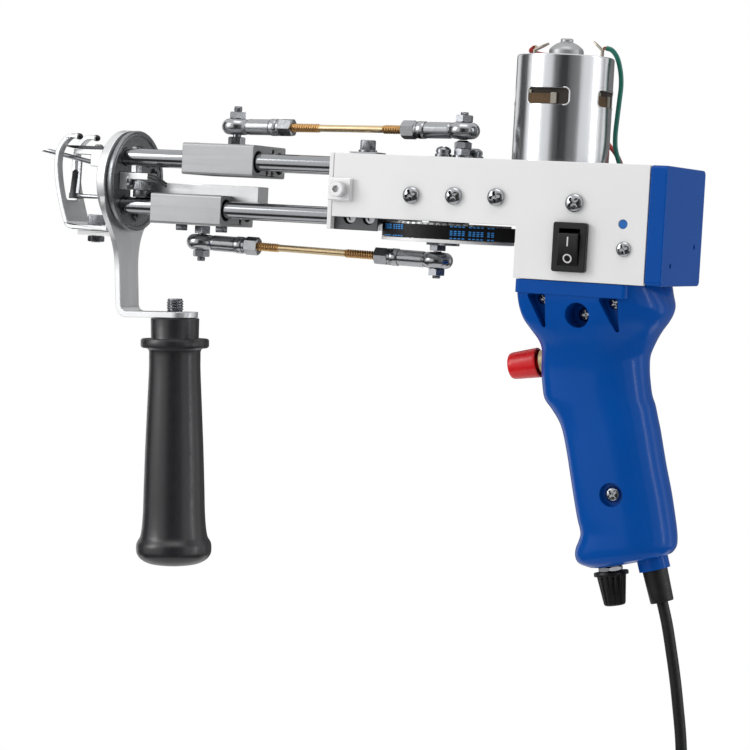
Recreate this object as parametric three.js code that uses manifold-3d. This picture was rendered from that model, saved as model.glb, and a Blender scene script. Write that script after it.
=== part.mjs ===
// A handheld tufting machine, in millimetres, +Z up, needle towards -X, rear cap towards +X, near side at -Y.
// The origin is the middle of the pistol grip, where the hand holds the machine.
// Places are measured along X from the motor side datum and along Z from the bottom edge of the side plates.
import * as THREE from 'three';
import { mergeVertices } from 'three/addons/utils/BufferGeometryUtils.js';
import Module from 'manifold-3d';

const wasm = await Module();
wasm.setup();

// Clearances
const seam = 0.25; // between pieces that are fastened together
const slip = 0.3; // round a shaft, pin or ball that moves in its hole
const overrun = 2; // how far a cut runs past the face that it opens
const weld = 0.0001; // vertices nearer than this are one

// Rounding of round pieces
const roundSides = 24;
const largeSides = 32;
const smallSides = 12;
const ballSides = 12;
const ballSteps = 4;
const hexSides = 6;
const beltSteps = 12;
const footSteps = 22;
const wireSteps = 20;

// Origin
const gripMiddleX = 20;
const gripMiddleDrop = 62;

// Body plates
const bodyWidth = 55.6;
const plateThickness = 3;
const bodyFront = -105.7;
const stepX = -18.1;
const bodyRear = 40.4;
const bodyTop = 50.4;
const armBottom = 22.3;

// Pieces between the plates
const bulkheadThickness = 2;
const bulkheadBottom = 16.6;
const clampBlockLength = 21.2;
const clampBlockRelief = 1.4; // round the belt's bend, under the block
const clampBlockDrop = 0.8; // its top lies this far below the plates' top edge
const basePlateThickness = 3;
const basePlateRear = 38;
const cornerBlockSetback = 1.3; // behind the front plate's front face
const cornerBlockLength = 11;
const cornerBlockHeight = 10.2;
const cornerBlockThickness = 2.6;
const cornerBlockRise = 6.9; // its bottom above the arm's bottom edge
const capScrewHead = 7;
const capScrewHeight = 4;
const capScrewSocket = 3;

// Rear cap
const capRear = 48;
const capWall = 2.4;
const capTongue = 15;
const capRound = 2.2;
const capHoleDiameter = 2.4;
const capHoleY = 16.5;
const capHoleLowZ = 8.7;
const capHoleHighZ = 17;

// Plate fittings
const mainScrewHole = 4.2;
const mainScrewZ = 33.7;
const mainScrewXs = [-66.4, -46.6, -26.9, 8.7];
const sightHole = 4;
const sightHoleX = 29.9;
const sightHoleZ = 25.2;
const capScrewHole = 3.2;
const capScrewX = 30.9;
const capScrewZ = 14.8;

// Rocker switch
const switchX = 7.6;
const switchZ = 14.4;
const bezelLength = 15;
const bezelHeight = 21;
const bezelProud = 2.2;
const switchBodyLength = 12.6;
const switchBodyHeight = 18.6;
const switchBodyDepth = 13;
const rockerLength = 8.9;
const rockerHeight = 14;
const rockerRadius = 9.4; // of the arc on which its face turns
const rockerDish = 1.1;
const rockerSink = 5.2; // its axle lies this far inside the plate's outer face
const rockerRest = 0.13; // radians, the lower end pressed in

// Guide shafts
const shaftDiameter = 8;
const shaftSpread = 10.6; // of each shaft from the middle
const upperShaftZ = 45.2;
const lowerShaftZ = 22.4;

// Front ring and the plate that carries the side handle
const ringRear = -222.4;
const ringZ = 33.9;
const ringRadius = 23.9;
const ringFlange = 2.2;
const ringHub = 1.7;
const ringHubRadius = 22.2;
const ringRecessRadius = 21.6;
const ringRecess = 0.9;
const slotHalfWidth = 4.9;
const slotBottom = 22.8;
const slotTop = 50.6;
const sheet = 2.8; // the bent plate's thickness
const bossThickness = 1.7;
const armWidth = 17.2;
const armFlareWidth = 45;
const armFlareTop = 26;
const armFlareBottom = -9;
const armLean = 0.075; // radians, the arm leans back below the ring
const footRise = 0.047; // radians, its foot rises to the rear and the side handle leans with it
const armTop = 9.7;
const armElbow = -30.6; // the bottom of the elbow
const elbowRadius = 6;
const armFoot = -187.8; // the rear end of its foot
const armFootRound = 8.3;

// Block behind the ring
const ringBlockLength = 15.4;
const ringBlockFootLength = 4;
const ringBlockY = -7.6;
const ringBlockWidth = 8.4;
const ringBlockBottom = 29.7;
const ringBlockTop = 37.7;
const ringBlockArm = 3.2;

// Presser foot
const footWidth = 20;
const footThickness = 2.2;
const footProng = 4.4;
const footSlotBottom = 23.4;
const footSlotRound = 1.4;
const footRear = -232.6;
const footBarZ = 11.9;
const footHeight = 42.8;
const footReach = 8.4; // how far the prongs stand in front of the bend
const footBend = -254.2;
const bracketThickness = 2.3;
const bracketFront = -250.4;
const bracketWidth = 15;
const bracketLipTop = 21;
const footBoltX = -244.4;
const footBoltDiameter = 5;
const footBoltHead = 8.4;
const footBoltHeadHeight = 4.9;
const footNutAcross = 7;
const footNutHeight = 2.8;
const footBoltTail = 0.3;

// Side handle
const handleX = -198.8;
const studDiameter = 8;
const studRise = 6.2; // above the arm's foot
const studDepth = 19; // into the handle
const handleLength = 117.5;
const neckRadius = 11.5;
const flangeRadius = 16.2;
const gripTopRadius = 12.2;
const bulgeRadius = 17.9;

// Motor
const motorX = -9.8;
const motorRadius = 21.15;
const motorTop = 96.4;
const motorEdge = 1.2;
const motorBossRadius = 7.7;
const motorBossSide = 1.8; // height of its upright side
const motorBossHeight = 4.7;
const motorBossTopRadius = 3.3;
const motorRingRadius = 2.6;
const motorRingHeight = 1.5;
const motorRingBore = 1.6;
const windowLow = 74.9;
const windowHigh = 82;
const windowHalfAngle = 0.471;
const windowDepth = 2.4;
const terminalReach = 13.6; // from the motor's axis
const terminalWidth = 3.2;
const terminalThickness = 1;
const terminalHeight = 5.4;
const deckTop = 29.7;
const deckThickness = 5.5;
const deckFront = -33.4;
const deckRear = 14;
const deckHole = 9;
const lugLength = 8.6;
const lugTop = 38;
const lugWidth = 9;
const motorShaftDiameter = 5;

// Belt drive
const crankX = -60.8;
const beltPitch = 3;
const drivenTeeth = 60;
const motorTeeth = 15;
const toothDepth = 1.1;
const beltWidth = 6;
const beltThickness = 1.2;
const beltLow = 14.8;
const pulleyMargin = 0.9; // of a pulley past the belt's edges
const flangeProud = 1.6;
const flangeThickness = 1;
const hubRadius = 9;

// Crank
const crankThrow = 8;
const crankPhase = -0.592; // radians of the top pin from +X at rest
const crankShaftDiameter = 8;
const bearingOuter = 22;
const bearingThickness = 7;
const bearingShoulder = 6;
const bearingBlockFront = -79;
const bearingBlockRear = -37;
const bearingBlockLow = 24.2;
const bearingBlockHigh = 44.4;
const discLow = 46.4;
const discHigh = 50.9;
const discRadius = 14.6;
const discScrewRadius = 3.4;
const discScrewHeight = 5.4;
const discScrewAngles = [-1.69, 0.454];
const discScrewThrows = [8.2, 10];
const pinNutAcross = 7;
const pinHexTop = 58.6;
const lowCrankThickness = 1.9;
const lowCrankRadius = 5.3;

// Ball joints of the connecting rods
const ballRadius = 4;
const eyeRadius = 6.15;
const eyeHalfHeight = 3.5;
const eyeWaist = 1.5; // half the height of the eye's outer band
const stemRadius = 1.95;
const ballNutAcross = 7;
const ballNutHeight = 3.1;
const stemTail = 1.9;
const frontSpacer = 3.6; // the hex nut between a carriage and its ball
const neckRise = 4.3; // from the ball's middle to where the pin below it ends

// Connecting rods
const topFrontBallX = -170.2;
const topFrontBallZ = 61.4;
const topRearBallZ = 62.9;
const lowFrontBallX = -186.2;
const lowFrontBallZ = 6.9;
const lowRearBallZ = 4.9;
const sleeveStart = 5.2;
const sleeveEnd = 23.6;
const sleeveRadius = 3.75;
const sleeveBore = 2.3;
const rodNutLength = 6.2;
const rodNutAcross = 7;
const rodRadius = 1.6;
const rodThreadRadius = 2;
const topFrontThread = 41;
const topRearThread = 42;
const rodEngagement = 9; // of each threaded end in its sleeve

// Needle carriage
const needleBlockFront = -189.8;
const needleBlockRear = -152.6;
const needleBlockLow = 38.2;
const needleBlockHigh = 52.8;
const carriageWidth = 32.4;
const carriageEdge = 1.2;
const carriageSeat = 5.1; // radius of the bush seats at the ends of the bores
const carriageSeatDepth = 2;
const needleBarHalf = 3.4;
const needleBarLow = 42.6;
const needleBarHigh = 46.8;
const clampFront = -247.4;
const clampLength = 6.4;
const clampLow = 40.1;
const clampHigh = 45.2;
const bladeSeatFront = -257;
const bladeSeatLow = 45.6;
const bladeSeatHigh = 48.1;
const bladeTip = -265.4;
const bladeRear = -240.8;
const bladeThickness = 1.4;
const bladeHalf = 3.2;
const bladeBevel = 8;
const needleTipX = -277.4;
const needleTipZ = 47.4;
const needleRearX = -240.6;
const needleSlope = 0.182;
const needleRadius = 1.1;
const needleBore = 0.65;
const needleTipCut = 1.1; // radians, the slant of the needle's tip

// Hook carriage
const hookBlockFront = -205.6;
const hookBlockRear = -168.2;
const hookBlockLow = 14.8;
const hookBlockHigh = 29;
const hookBarFront = -213.5;
const hookBarRear = -155.6;
const hookBarHalf = 5;
const hookBarLow = 26.4;
const hookBarHigh = 33.9;
const hookRodZ = 25.6;
const hookRodRadius = 1.15;
const hookRodDrop = 3.4; // of the rod's pad below the bar
const hookRodFront = -258;
const hookFootLength = 4.6;
const hookFootHeight = 2.6;
const hookArmY = 3.8;
const hookArmThickness = 1.3;
const hookArmLength = 2.2;
const hookArmTop = 42.9;
const hookBladeTop = 38.6;
const hookBladeLength = 2.7;
const hookBladeHalf = 0.7;
const hookBladeLean = 1.4;

// Pistol grip
const gripLength = 124.4;
const gripDepth = 60;
const gripHalfWidth = 26;
const gripWall = 2.6;
const gripFrontX = -17.2;
const flangeFront = -17.4;
const flangeRear = 33;
const flangeDrop = 5.8;
const flangeHalfWidth = 27.4;
const gripSplit = 0.12; // half the gap between the two shells
const outsideSteps = 8; // faces along one half section
const insideSteps = 6;
const insideEvery = 2; // the inside follows every second section
// Each row is one section of the grip, from the top down: the front point (across, down), the rear point
// (across, down) and the half width as shares of the sizes above, then how square its front and rear half are.
const gripSectionShares = [
  [-0.003, 0.000, 0.960, 0.000, 1.045, 9.0, 4.0],
  [-0.003, 0.022, 0.990, 0.030, 1.040, 9.0, 3.2],
  [0.000, 0.062, 1.020, 0.067, 1.020, 8.5, 2.8],
  [0.015, 0.099, 1.017, 0.096, 0.990, 8.0, 2.6],
  [0.045, 0.139, 0.990, 0.126, 0.955, 7.0, 2.5],
  [0.100, 0.178, 0.943, 0.161, 0.890, 5.2, 2.5],
  [0.133, 0.209, 0.902, 0.203, 0.820, 4.0, 2.5],
  [0.143, 0.240, 0.873, 0.247, 0.760, 3.2, 2.5],
  [0.130, 0.274, 0.875, 0.292, 0.720, 2.8, 2.5],
  [0.120, 0.312, 0.885, 0.328, 0.700, 2.6, 2.5],
  [0.125, 0.368, 0.907, 0.381, 0.690, 2.6, 2.5],
  [0.143, 0.417, 0.937, 0.417, 0.685, 2.6, 2.5],
  [0.197, 0.451, 0.960, 0.457, 0.680, 2.6, 2.5],
  [0.258, 0.490, 0.985, 0.501, 0.680, 2.6, 2.5],
  [0.295, 0.529, 1.007, 0.546, 0.680, 2.6, 2.5],
  [0.338, 0.606, 1.047, 0.626, 0.675, 2.6, 2.5],
  [0.383, 0.704, 1.095, 0.711, 0.670, 2.6, 2.5],
  [0.438, 0.818, 1.137, 0.800, 0.660, 2.6, 2.5],
  [0.473, 0.875, 1.157, 0.850, 0.650, 2.6, 2.5],
  [0.465, 0.904, 1.163, 0.875, 0.650, 2.6, 2.5],
  [0.443, 0.936, 1.162, 0.897, 0.645, 2.6, 2.5],
  [0.443, 0.965, 1.145, 0.915, 0.620, 2.6, 2.5],
  [0.473, 0.987, 1.118, 0.927, 0.570, 2.6, 2.5],
  [0.553, 0.999, 1.053, 0.935, 0.490, 2.5, 2.5],
];
const pocketDepth = 9;
const pocketTop = 6.6; // below the plates' bottom edge
const pocketFronts = [-12.9, 18.8];
const pocketWidth = 8.6;
const pocketHeight = 16.6;
const gripPortX = 8.7;
const gripPortZ = -14.2;
const gripPortRadius = 5.4;
const gripPortDepth = 12;
const gripScrewX = 28.2;
const gripScrewShare = 0.7243; // of the grip's length, down from its top
const gripScrewRadius = 4.5;
const gripScrewDepth = 3.4;

// Trigger
const triggerX = -9.6; // where its axis crosses the grip's front
const triggerShare = 0.291; // of the grip's length, down from its top
const triggerTilt = 0.2; // radians below the horizontal, towards the front
const bushRadius = 5.3;
const bushBore = 3.2;
const bushLength = 11;
const bushProud = 3.4;
const buttonFrontRadius = 5.9;
const buttonRearRadius = 6.6;
const buttonLength = 13.4;
const buttonLift = 4.4; // of the cap's rear end from the grip's front
const buttonWall = 0.9;
const buttonSkirt = 3.6; // how far the cap is hollow round the bush
const buttonStemRadius = 2.7;
const buttonStemLength = 9;

// Speed dial
const dialX = 24.1;
const dialShare = 0.9847; // of the grip's length, down from its top
const dialTilt = 0.19; // radians off the vertical, towards the rear
const dialNutAcross = 10;
const dialNutHeight = 2;
const dialBushRadius = 3.4;
const dialBushLength = 6;
const dialBodyRadius = 8;
const dialBodyHeight = 7;
const dialBodyGap = 2.2; // the floor of the grip slopes more than the dial
const knobSkirtRadius = 7.6;
const knobSkirt = 1.6;
const knobTopRadius = 6.4;
const knobEndRadius = 4.7;
const knobLength = 16.2;
const knobGrooveDepth = 0.35;
const knobGrooves = 14;

// Controller board
const boardLength = 38;
const boardWidth = 28.4; // it stands in grooves of the two shells
const boardThickness = 1.6;
const boardPartsHeight = 5;
const boardX = 20.4;
const boardShare = 0.5064; // of the grip's length, down from its top
const boardTilt = 0.28;

// Cord
const sleeveX = 43.3;
const sleeveShare = 0.955; // of the grip's length, down from its top
const sleeveTilt = 0.297; // radians off the vertical, towards the rear
const collarRadius = 6.8;
const collarLength = 3.8;
const sleeveTopRadius = 5.6;
const sleeveTipRadius = 5.1;
const sleeveLength = 18.1;
const sleeveInside = 6; // how far it reaches into the grip
const cordDiameter = 5;
const cordSides = 8;
const cordStep = 2.2; // steps along the cord, in diameters
// The free stretch, from inside the sleeve down to where the hank begins.
const cordRoute = [
  [41.8, 0, -114.0],
  [43.3, 0, -118.8],
  [44.9, 0, -124.1],
  [46.5, 0, -129.3],
  [48.1, 0, -134.6],
  [50.1, 0, -141.0],
  [51.5, 0, -146.0],
  [52.8, 0, -151.5],
  [54.0, 0, -157.0],
  [55.2, 0, -162.5],
  [56.4, 0, -168.5],
  [57.5, 0, -174.5],
  [58.5, 0, -180.5],
  [59.5, 0, -186.5],
  [60.4, 0, -192.5],
  [61.1, 0, -198.5],
  [61.7, 0, -204.5],
  [62.1, 0, -210.5],
  [62.3, 0, -216.5],
  [62.4, 0, -222.5],
  [62.4, 0, -227.5],
  [62.4, 0, -232.5],
];

// Hank
const hankTurns = 7; // whole turns; it starts at the top of one run and ends at the bottom of it
const hankTail = 40; // from the last run down to the socket
const hankTailDrift = 4.5; // of the tail away from the loops beside it
const hankReverses = [1.75, 3.75, 5.75]; // the turns at which the spiral reverses and climbs a layer
const hankFold = 15; // radius of the innermost fold
const hankStep = 6.2; // between loops side by side
const hankLayer = 5.8; // between layers
const hankHalfRun = 24;
const hankWaist = 8; // how far each run is drawn in at the tie
const hankSides = 5;
const hankStepsPerTurn = 24;

// Socket on the cord's end
const socketRadius = 5.4;
const socketLength = 30;
const socketNeckRadius = 3.6;
const socketNeckLength = 8;
const socketBore = 2.8;
const socketBoreDepth = 10;
const socketPinRadius = 1;

// Wires
const wireRadius = 1.05;
const wireSides = 5;
const greenWire = [
  [4.6, 0.0, 101.6],
  [6.4, 0.0, 102.0],
  [9.6, 0.2, 99.6],
  [12.9, 0.8, 95.8],
  [14.9, 1.4, 91.0],
  [15.4, 1.9, 85.2],
  [15.0, 2.0, 78.2],
  [14.5, 2.0, 71.0],
  [14.1, 2.0, 63.0],
  [14.6, 2.0, 57.5],
  [16.6, 2.0, 51.5],
  [18.6, 2.0, 46.0],
  [19.6, 2.0, 40.5],
  [19.6, 2.0, 35.0],
];
const redWire = [
  [-24.0, 2.3, 98.8],
  [-24.8, 6.0, 98.6],
  [-23.8, 12.6, 98.4],
  [-20.6, 19.2, 97.6],
  [-15.6, 23.2, 92.6],
  [-12.6, 23.8, 86.0],
  [-9.2, 23.6, 79.0],
  [-5.2, 23.3, 72.0],
  [0.2, 21.6, 65.4],
  [5.8, 18.0, 60.0],
  [10.8, 13.6, 56.0],
  [14.4, 10.6, 51.4],
  [16.2, 9.6, 46.0],
  [16.8, 9.4, 40.5],
  [16.8, 9.4, 35.0],
];

// Sizes that follow
const plateOuterY = bodyWidth / 2;
const plateInnerY = plateOuterY - plateThickness;
const insideY = plateInnerY - seam;
const bulkheadRear = bodyFront - seam;
const clampBlockFront = bulkheadRear + seam;
const clampBlockRear = clampBlockFront + clampBlockLength;
const upperShaftRear = clampBlockRear - seam;
const shaftHole = shaftDiameter / 2 + seam;
const hubFront = ringRear - ringFlange - ringHub;
const sheetRear = hubFront - seam;
const bossFront = sheetRear - sheet - bossThickness;
const elbowZ = armElbow + elbowRadius;
const elbowX = sheetRear + (armTop - elbowZ) * Math.tan(armLean) + elbowRadius - sheet;
const drivenRadius = (drivenTeeth * beltPitch) / (2 * Math.PI) - toothDepth / 2;
const motorPulleyRadius = (motorTeeth * beltPitch) / (2 * Math.PI) - toothDepth / 2;
const beltHigh = beltLow + beltWidth;
const pulleyLow = beltLow - pulleyMargin;
const pulleyHigh = beltHigh + pulleyMargin;
const reliefRadius = drivenRadius + slip + beltThickness + clampBlockRelief;
const lowerShaftRear = crankX - reliefRadius - seam;
const lowCrankHigh = pulleyLow - seam;
const lowCrankLow = lowCrankHigh - lowCrankThickness;
const topPinX = crankX + crankThrow * Math.cos(crankPhase);
const topPinY = crankThrow * Math.sin(crankPhase);
const lowPinX = crankX - crankThrow * Math.cos(crankPhase);
const lowPinY = -topPinY;
const flangeTop = -seam;
const triggerZ = -gripLength * triggerShare;
const gripScrewZ = -gripLength * gripScrewShare;
const boardZ = -gripLength * boardShare;
const dialZ = -gripLength * dialShare;
const sleeveZ = -gripLength * sleeveShare;

const origin = new THREE.Group();
const machine = new THREE.Group();
machine.position.set(-gripMiddleX, 0, gripMiddleDrop);
origin.add(machine);

// Solids

function solidOf(geometry) {
  const bare = geometry.clone();
  bare.deleteAttribute('normal');
  bare.deleteAttribute('uv');
  const merged = mergeVertices(bare, weld);
  const corners = merged.index.array;
  const kept = [];
  for (let i = 0; i < corners.length; i += 3) {
    const [a, b, c] = corners.slice(i, i + 3);
    if (a !== b && b !== c && c !== a) kept.push(a, b, c);
  }
  const make = (triangles) =>
    new wasm.Manifold(
      new wasm.Mesh({
        numProp: 3,
        vertProperties: new Float32Array(merged.attributes.position.array),
        triVerts: new Uint32Array(triangles),
      }),
    );
  const made = make(kept);
  if (made.volume() > 0) return made;
  const turned = [];
  for (let i = 0; i < kept.length; i += 3) turned.push(kept[i], kept[i + 2], kept[i + 1]);
  return make(turned);
}

function geometryOf(solid) {
  const mesh = solid.getMesh();
  const geometry = new THREE.BufferGeometry();
  geometry.setAttribute('position', new THREE.BufferAttribute(mesh.vertProperties, 3));
  geometry.setIndex(new THREE.BufferAttribute(mesh.triVerts, 1));
  const flat = geometry.toNonIndexed();
  flat.computeVertexNormals();
  return flat;
}

const join = (...solids) => solids.reduce((whole, piece) => whole.add(piece));
const cut = (whole, ...tools) => tools.reduce((left, tool) => left.subtract(tool), whole);

function block(x0, x1, y0, y1, z0, z1) {
  const box = new THREE.BoxGeometry(x1 - x0, y1 - y0, z1 - z0);
  box.translate((x0 + x1) / 2, (y0 + y1) / 2, (z0 + z1) / 2);
  return solidOf(box);
}

function outline(points) {
  return new THREE.Shape(points.map(([a, b]) => new THREE.Vector2(a, b)));
}

function roundedBox(width, height, radius, middleX = 0, middleY = 0) {
  const shape = new THREE.Shape();
  const [left, right] = [middleX - width / 2, middleX + width / 2];
  const [low, high] = [middleY - height / 2, middleY + height / 2];
  shape.moveTo(left + radius, low);
  shape.lineTo(right - radius, low);
  shape.absarc(right - radius, low + radius, radius, -Math.PI / 2, 0, false);
  shape.lineTo(right, high - radius);
  shape.absarc(right - radius, high - radius, radius, 0, Math.PI / 2, false);
  shape.lineTo(left + radius, high);
  shape.absarc(left + radius, high - radius, radius, Math.PI / 2, Math.PI, false);
  shape.lineTo(left, low + radius);
  shape.absarc(left + radius, low + radius, radius, Math.PI, Math.PI * 1.5, false);
  return shape;
}

function circle(radius, sides = roundSides) {
  const points = [];
  for (let i = 0; i < sides; i += 1) {
    const turn = (2 * Math.PI * i) / sides;
    points.push([radius * Math.cos(turn), radius * Math.sin(turn)]);
  }
  return outline(points);
}

function extruded(shape, length, bevel = 0) {
  const geometry = new THREE.ExtrudeGeometry(shape, {
    depth: length - 2 * bevel,
    bevelEnabled: bevel > 0,
    bevelThickness: bevel,
    bevelSize: bevel,
    bevelOffset: -bevel,
    bevelSegments: 1,
    curveSegments: 3,
  });
  geometry.translate(0, 0, bevel);
  return geometry;
}

// A shape drawn in X and Z, from y0 to y1.
function sidePrism(shape, y0, y1, bevel = 0) {
  const geometry = extruded(shape, y1 - y0, bevel);
  geometry.rotateX(Math.PI / 2);
  geometry.translate(0, y1, 0);
  return solidOf(geometry);
}

// A shape drawn in Y and Z, from x0 to x1.
function frontPrism(shape, x0, x1, bevel = 0) {
  const geometry = extruded(shape, x1 - x0, bevel);
  const turn = new THREE.Matrix4().makeBasis(
    new THREE.Vector3(0, 1, 0),
    new THREE.Vector3(0, 0, 1),
    new THREE.Vector3(1, 0, 0),
  );
  geometry.applyMatrix4(turn);
  geometry.translate(x0, 0, 0);
  return solidOf(geometry);
}

// A shape drawn in X and Y, from z0 to z1.
function flatPrism(shape, z0, z1, bevel = 0) {
  const geometry = extruded(shape, z1 - z0, bevel);
  geometry.translate(0, 0, z0);
  return solidOf(geometry);
}

function postZ(radius, x, y, z0, z1, sides = smallSides) {
  return flatPrism(circle(radius, sides), z0, z1).translate([x, y, 0]);
}

function rodX(radius, y, z, x0, x1, sides = smallSides) {
  return frontPrism(circle(radius, sides), x0, x1).translate([0, y, z]);
}

function pinY(radius, x, z, y0, y1, sides = smallSides) {
  return sidePrism(circle(radius, sides), y0, y1).translate([x, 0, z]);
}

function hexZ(across, x, y, z0, z1) {
  return postZ(across / Math.sqrt(3), x, y, z0, z1, hexSides);
}

// A profile of [radius, height] turned about Z.
function turned(profile, sides = roundSides) {
  const lathe = new THREE.LatheGeometry(profile.map(([r, h]) => new THREE.Vector2(r, h)), sides);
  lathe.rotateX(Math.PI / 2);
  return solidOf(lathe);
}

function material(color, roughness, metalness) {
  return new THREE.MeshStandardMaterial({ color, roughness, metalness });
}

const whiteAluminium = () => material(0xdedfe1, 0.38, 0.6);
const satinAluminium = () => material(0xb4b6b8, 0.42, 0.9);
const darkAluminium = () => material(0x77797c, 0.45, 0.9);
const polishedSteel = () => material(0xc9cbce, 0.14, 1);
const plainSteel = () => material(0x9a9b9e, 0.32, 1);
const darkSteel = () => material(0x3b3b3d, 0.4, 0.9);
const brass = () => material(0xc09240, 0.3, 1);
const bluePlastic = () => material(0x0a3f9c, 0.22, 0);
const blackPlastic = () => material(0x17171a, 0.42, 0);
const blackRubber = () => material(0x19191b, 0.6, 0);
const redPlastic = () => material(0xc8161d, 0.3, 0);
const greenWireCover = () => material(0x0b7a5c, 0.45, 0);
const redWireCover = () => material(0x9c1f1c, 0.45, 0);
const boardGreen = () => material(0x1e5b36, 0.5, 0);

function add(name, solid, finish, parent = machine) {
  const mesh = new THREE.Mesh(solid.isBufferGeometry ? solid : geometryOf(solid), finish);
  mesh.name = name;
  parent.add(mesh);
  return mesh;
}

function group(x, y, z, parent = machine) {
  const made = new THREE.Group();
  made.position.set(x, y, z);
  parent.add(made);
  return made;
}

// Body

const plateShape = () =>
  outline([
    [bodyFront, armBottom],
    [stepX, armBottom],
    [stepX, 0],
    [bodyRear, 0],
    [bodyRear, bodyTop],
    [bodyFront, bodyTop],
  ]);

function sidePlate(inner, outer) {
  const [y0, y1] = [Math.min(inner, outer), Math.max(inner, outer)];
  const [low, high] = [y0 - overrun, y1 + overrun];
  const screwHoles = mainScrewXs.map((x) => pinY(mainScrewHole / 2, x, mainScrewZ, low, high));
  return cut(
    sidePrism(plateShape(), y0, y1),
    ...screwHoles,
    pinY(sightHole / 2, sightHoleX, sightHoleZ, low, high),
    pinY(capScrewHole / 2, capScrewX, capScrewZ, low, high),
  );
}

function switchOpening() {
  const halfLength = switchBodyLength / 2 + seam;
  const halfHeight = switchBodyHeight / 2 + seam;
  return block(
    switchX - halfLength,
    switchX + halfLength,
    -plateOuterY - overrun,
    -plateInnerY + overrun,
    switchZ - halfHeight,
    switchZ + halfHeight,
  );
}

const shaftPlaces = [
  ['upper_shaft_near', -shaftSpread, upperShaftZ, upperShaftRear],
  ['upper_shaft_far', shaftSpread, upperShaftZ, upperShaftRear],
  ['lower_shaft_near', -shaftSpread, lowerShaftZ, lowerShaftRear],
  ['lower_shaft_far', shaftSpread, lowerShaftZ, lowerShaftRear],
];

function shaftHoles(x0, x1) {
  return shaftPlaces.map(([, y, z]) => rodX(shaftHole, y, z, x0 - overrun, x1 + overrun));
}

add('side_plate_near', cut(sidePlate(-plateInnerY, -plateOuterY), switchOpening()), whiteAluminium());
add('side_plate_far', sidePlate(plateInnerY, plateOuterY), whiteAluminium());

const bulkheadFront = bulkheadRear - bulkheadThickness;
add(
  'front_bulkhead',
  cut(
    block(bulkheadFront, bulkheadRear, -plateOuterY, plateOuterY, bulkheadBottom, bodyTop),
    ...shaftHoles(bulkheadFront, bulkheadRear),
  ),
  whiteAluminium(),
);
add(
  'shaft_clamp_block',
  cut(
    block(clampBlockFront, clampBlockRear, -insideY, insideY, bulkheadBottom, bodyTop - clampBlockDrop),
    ...shaftHoles(clampBlockFront, clampBlockRear),
    postZ(reliefRadius, crankX, 0, bulkheadBottom - overrun, pulleyHigh + clampBlockRelief, largeSides),
  ),
  darkAluminium(),
);
add(
  'base_plate',
  block(stepX + seam, basePlateRear, -insideY, insideY, 0, basePlateThickness),
  satinAluminium(),
);

function cornerBlock() {
  const front = bulkheadFront + cornerBlockSetback;
  const inner = -plateOuterY - seam;
  const outer = inner - cornerBlockThickness;
  const low = armBottom + cornerBlockRise;
  const middleX = front + cornerBlockLength / 2;
  const middleZ = low + cornerBlockHeight / 2;
  const headEnd = outer - capScrewHeight;
  const head = pinY(capScrewHead / 2, middleX, middleZ, headEnd, outer + seam);
  const plate = block(front, front + cornerBlockLength, outer, inner, low, low + cornerBlockHeight);
  const socketRadius = capScrewSocket / Math.sqrt(3);
  const socket = pinY(socketRadius, middleX, middleZ, headEnd - overrun, headEnd + overrun, hexSides);
  return cut(join(plate, head), socket);
}
add('corner_block_near', cornerBlock(), plainSteel());

// The rear cap is a shallow tray whose two side tongues slide in between the plates.
function rearCap() {
  const height = bodyTop;
  const front = bodyRear + seam;
  const tray = roundedBox(bodyWidth, height, capRound, 0, height / 2);
  const hollowWidth = bodyWidth - 2 * (plateThickness + seam) - 2 * capWall;
  const hollow = roundedBox(hollowWidth, height - 2 * capWall, capRound / 2, 0, height / 2);
  const body = cut(
    frontPrism(tray, front, capRear, capRound / 2),
    frontPrism(hollow, front - overrun, capRear - capWall),
  );
  const tongueFront = front - capTongue;
  const tongue = (side) => {
    const [a, b] = [side * insideY, side * (insideY - capWall)];
    return block(
      tongueFront,
      front + overrun,
      Math.min(a, b),
      Math.max(a, b),
      basePlateThickness + seam + capWall,
      height - 2 * capWall,
    );
  };
  const holes = [
    [-capHoleY, capHoleLowZ],
    [capHoleY, capHoleHighZ],
  ].map(([y, z]) => rodX(capHoleDiameter / 2, y, z, capRear - capWall - overrun, capRear + overrun));
  return cut(join(body, tongue(-1), tongue(1)), ...holes);
}
add('rear_cap', rearCap(), bluePlastic());

// Shafts and the ring that holds their front ends

for (const [name, y, z, rear] of shaftPlaces) {
  add(name, rodX(shaftDiameter / 2, y, z, hubFront + seam, rear), polishedSteel());
}

function slotThrough(x0, x1) {
  return block(x0 - overrun, x1 + overrun, -slotHalfWidth, slotHalfWidth, slotBottom, slotTop);
}

function frontRing() {
  const flangeFront = ringRear - ringFlange;
  const disc = (radius, front, rear) => frontPrism(circle(radius, largeSides), front, rear).translate([0, 0, ringZ]);
  const flange = disc(ringRadius, flangeFront, ringRear);
  const hub = disc(ringHubRadius, hubFront, flangeFront + seam);
  const recess = disc(ringRecessRadius, ringRear - ringRecess, ringRear + overrun);
  return cut(
    join(flange, hub),
    recess,
    slotThrough(hubFront, ringRear),
    ...shaftHoles(hubFront, ringRear),
  );
}
add('front_ring', frontRing(), darkAluminium());

// The bent sheet: a disc at the top, an arm that leans back and a foot that runs to the rear under the stud.
function armSide() {
  const innerTurn = elbowRadius - sheet;
  const footUnder = armElbow + Math.tan(footRise) * (armFoot - elbowX);
  const [start, end] = [Math.PI + armLean, Math.PI * 1.5 + footRise];
  const shape = new THREE.Shape();
  shape.moveTo(sheetRear, ringZ);
  shape.lineTo(sheetRear, armTop);
  shape.absarc(elbowX, elbowZ, innerTurn, start, end, false);
  shape.lineTo(armFoot, footUnder + sheet);
  shape.lineTo(armFoot, footUnder);
  shape.absarc(elbowX, elbowZ, elbowRadius, end, start, true);
  shape.lineTo(sheetRear - sheet, armTop);
  shape.lineTo(sheetRear - sheet, ringZ);
  return shape;
}

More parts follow.
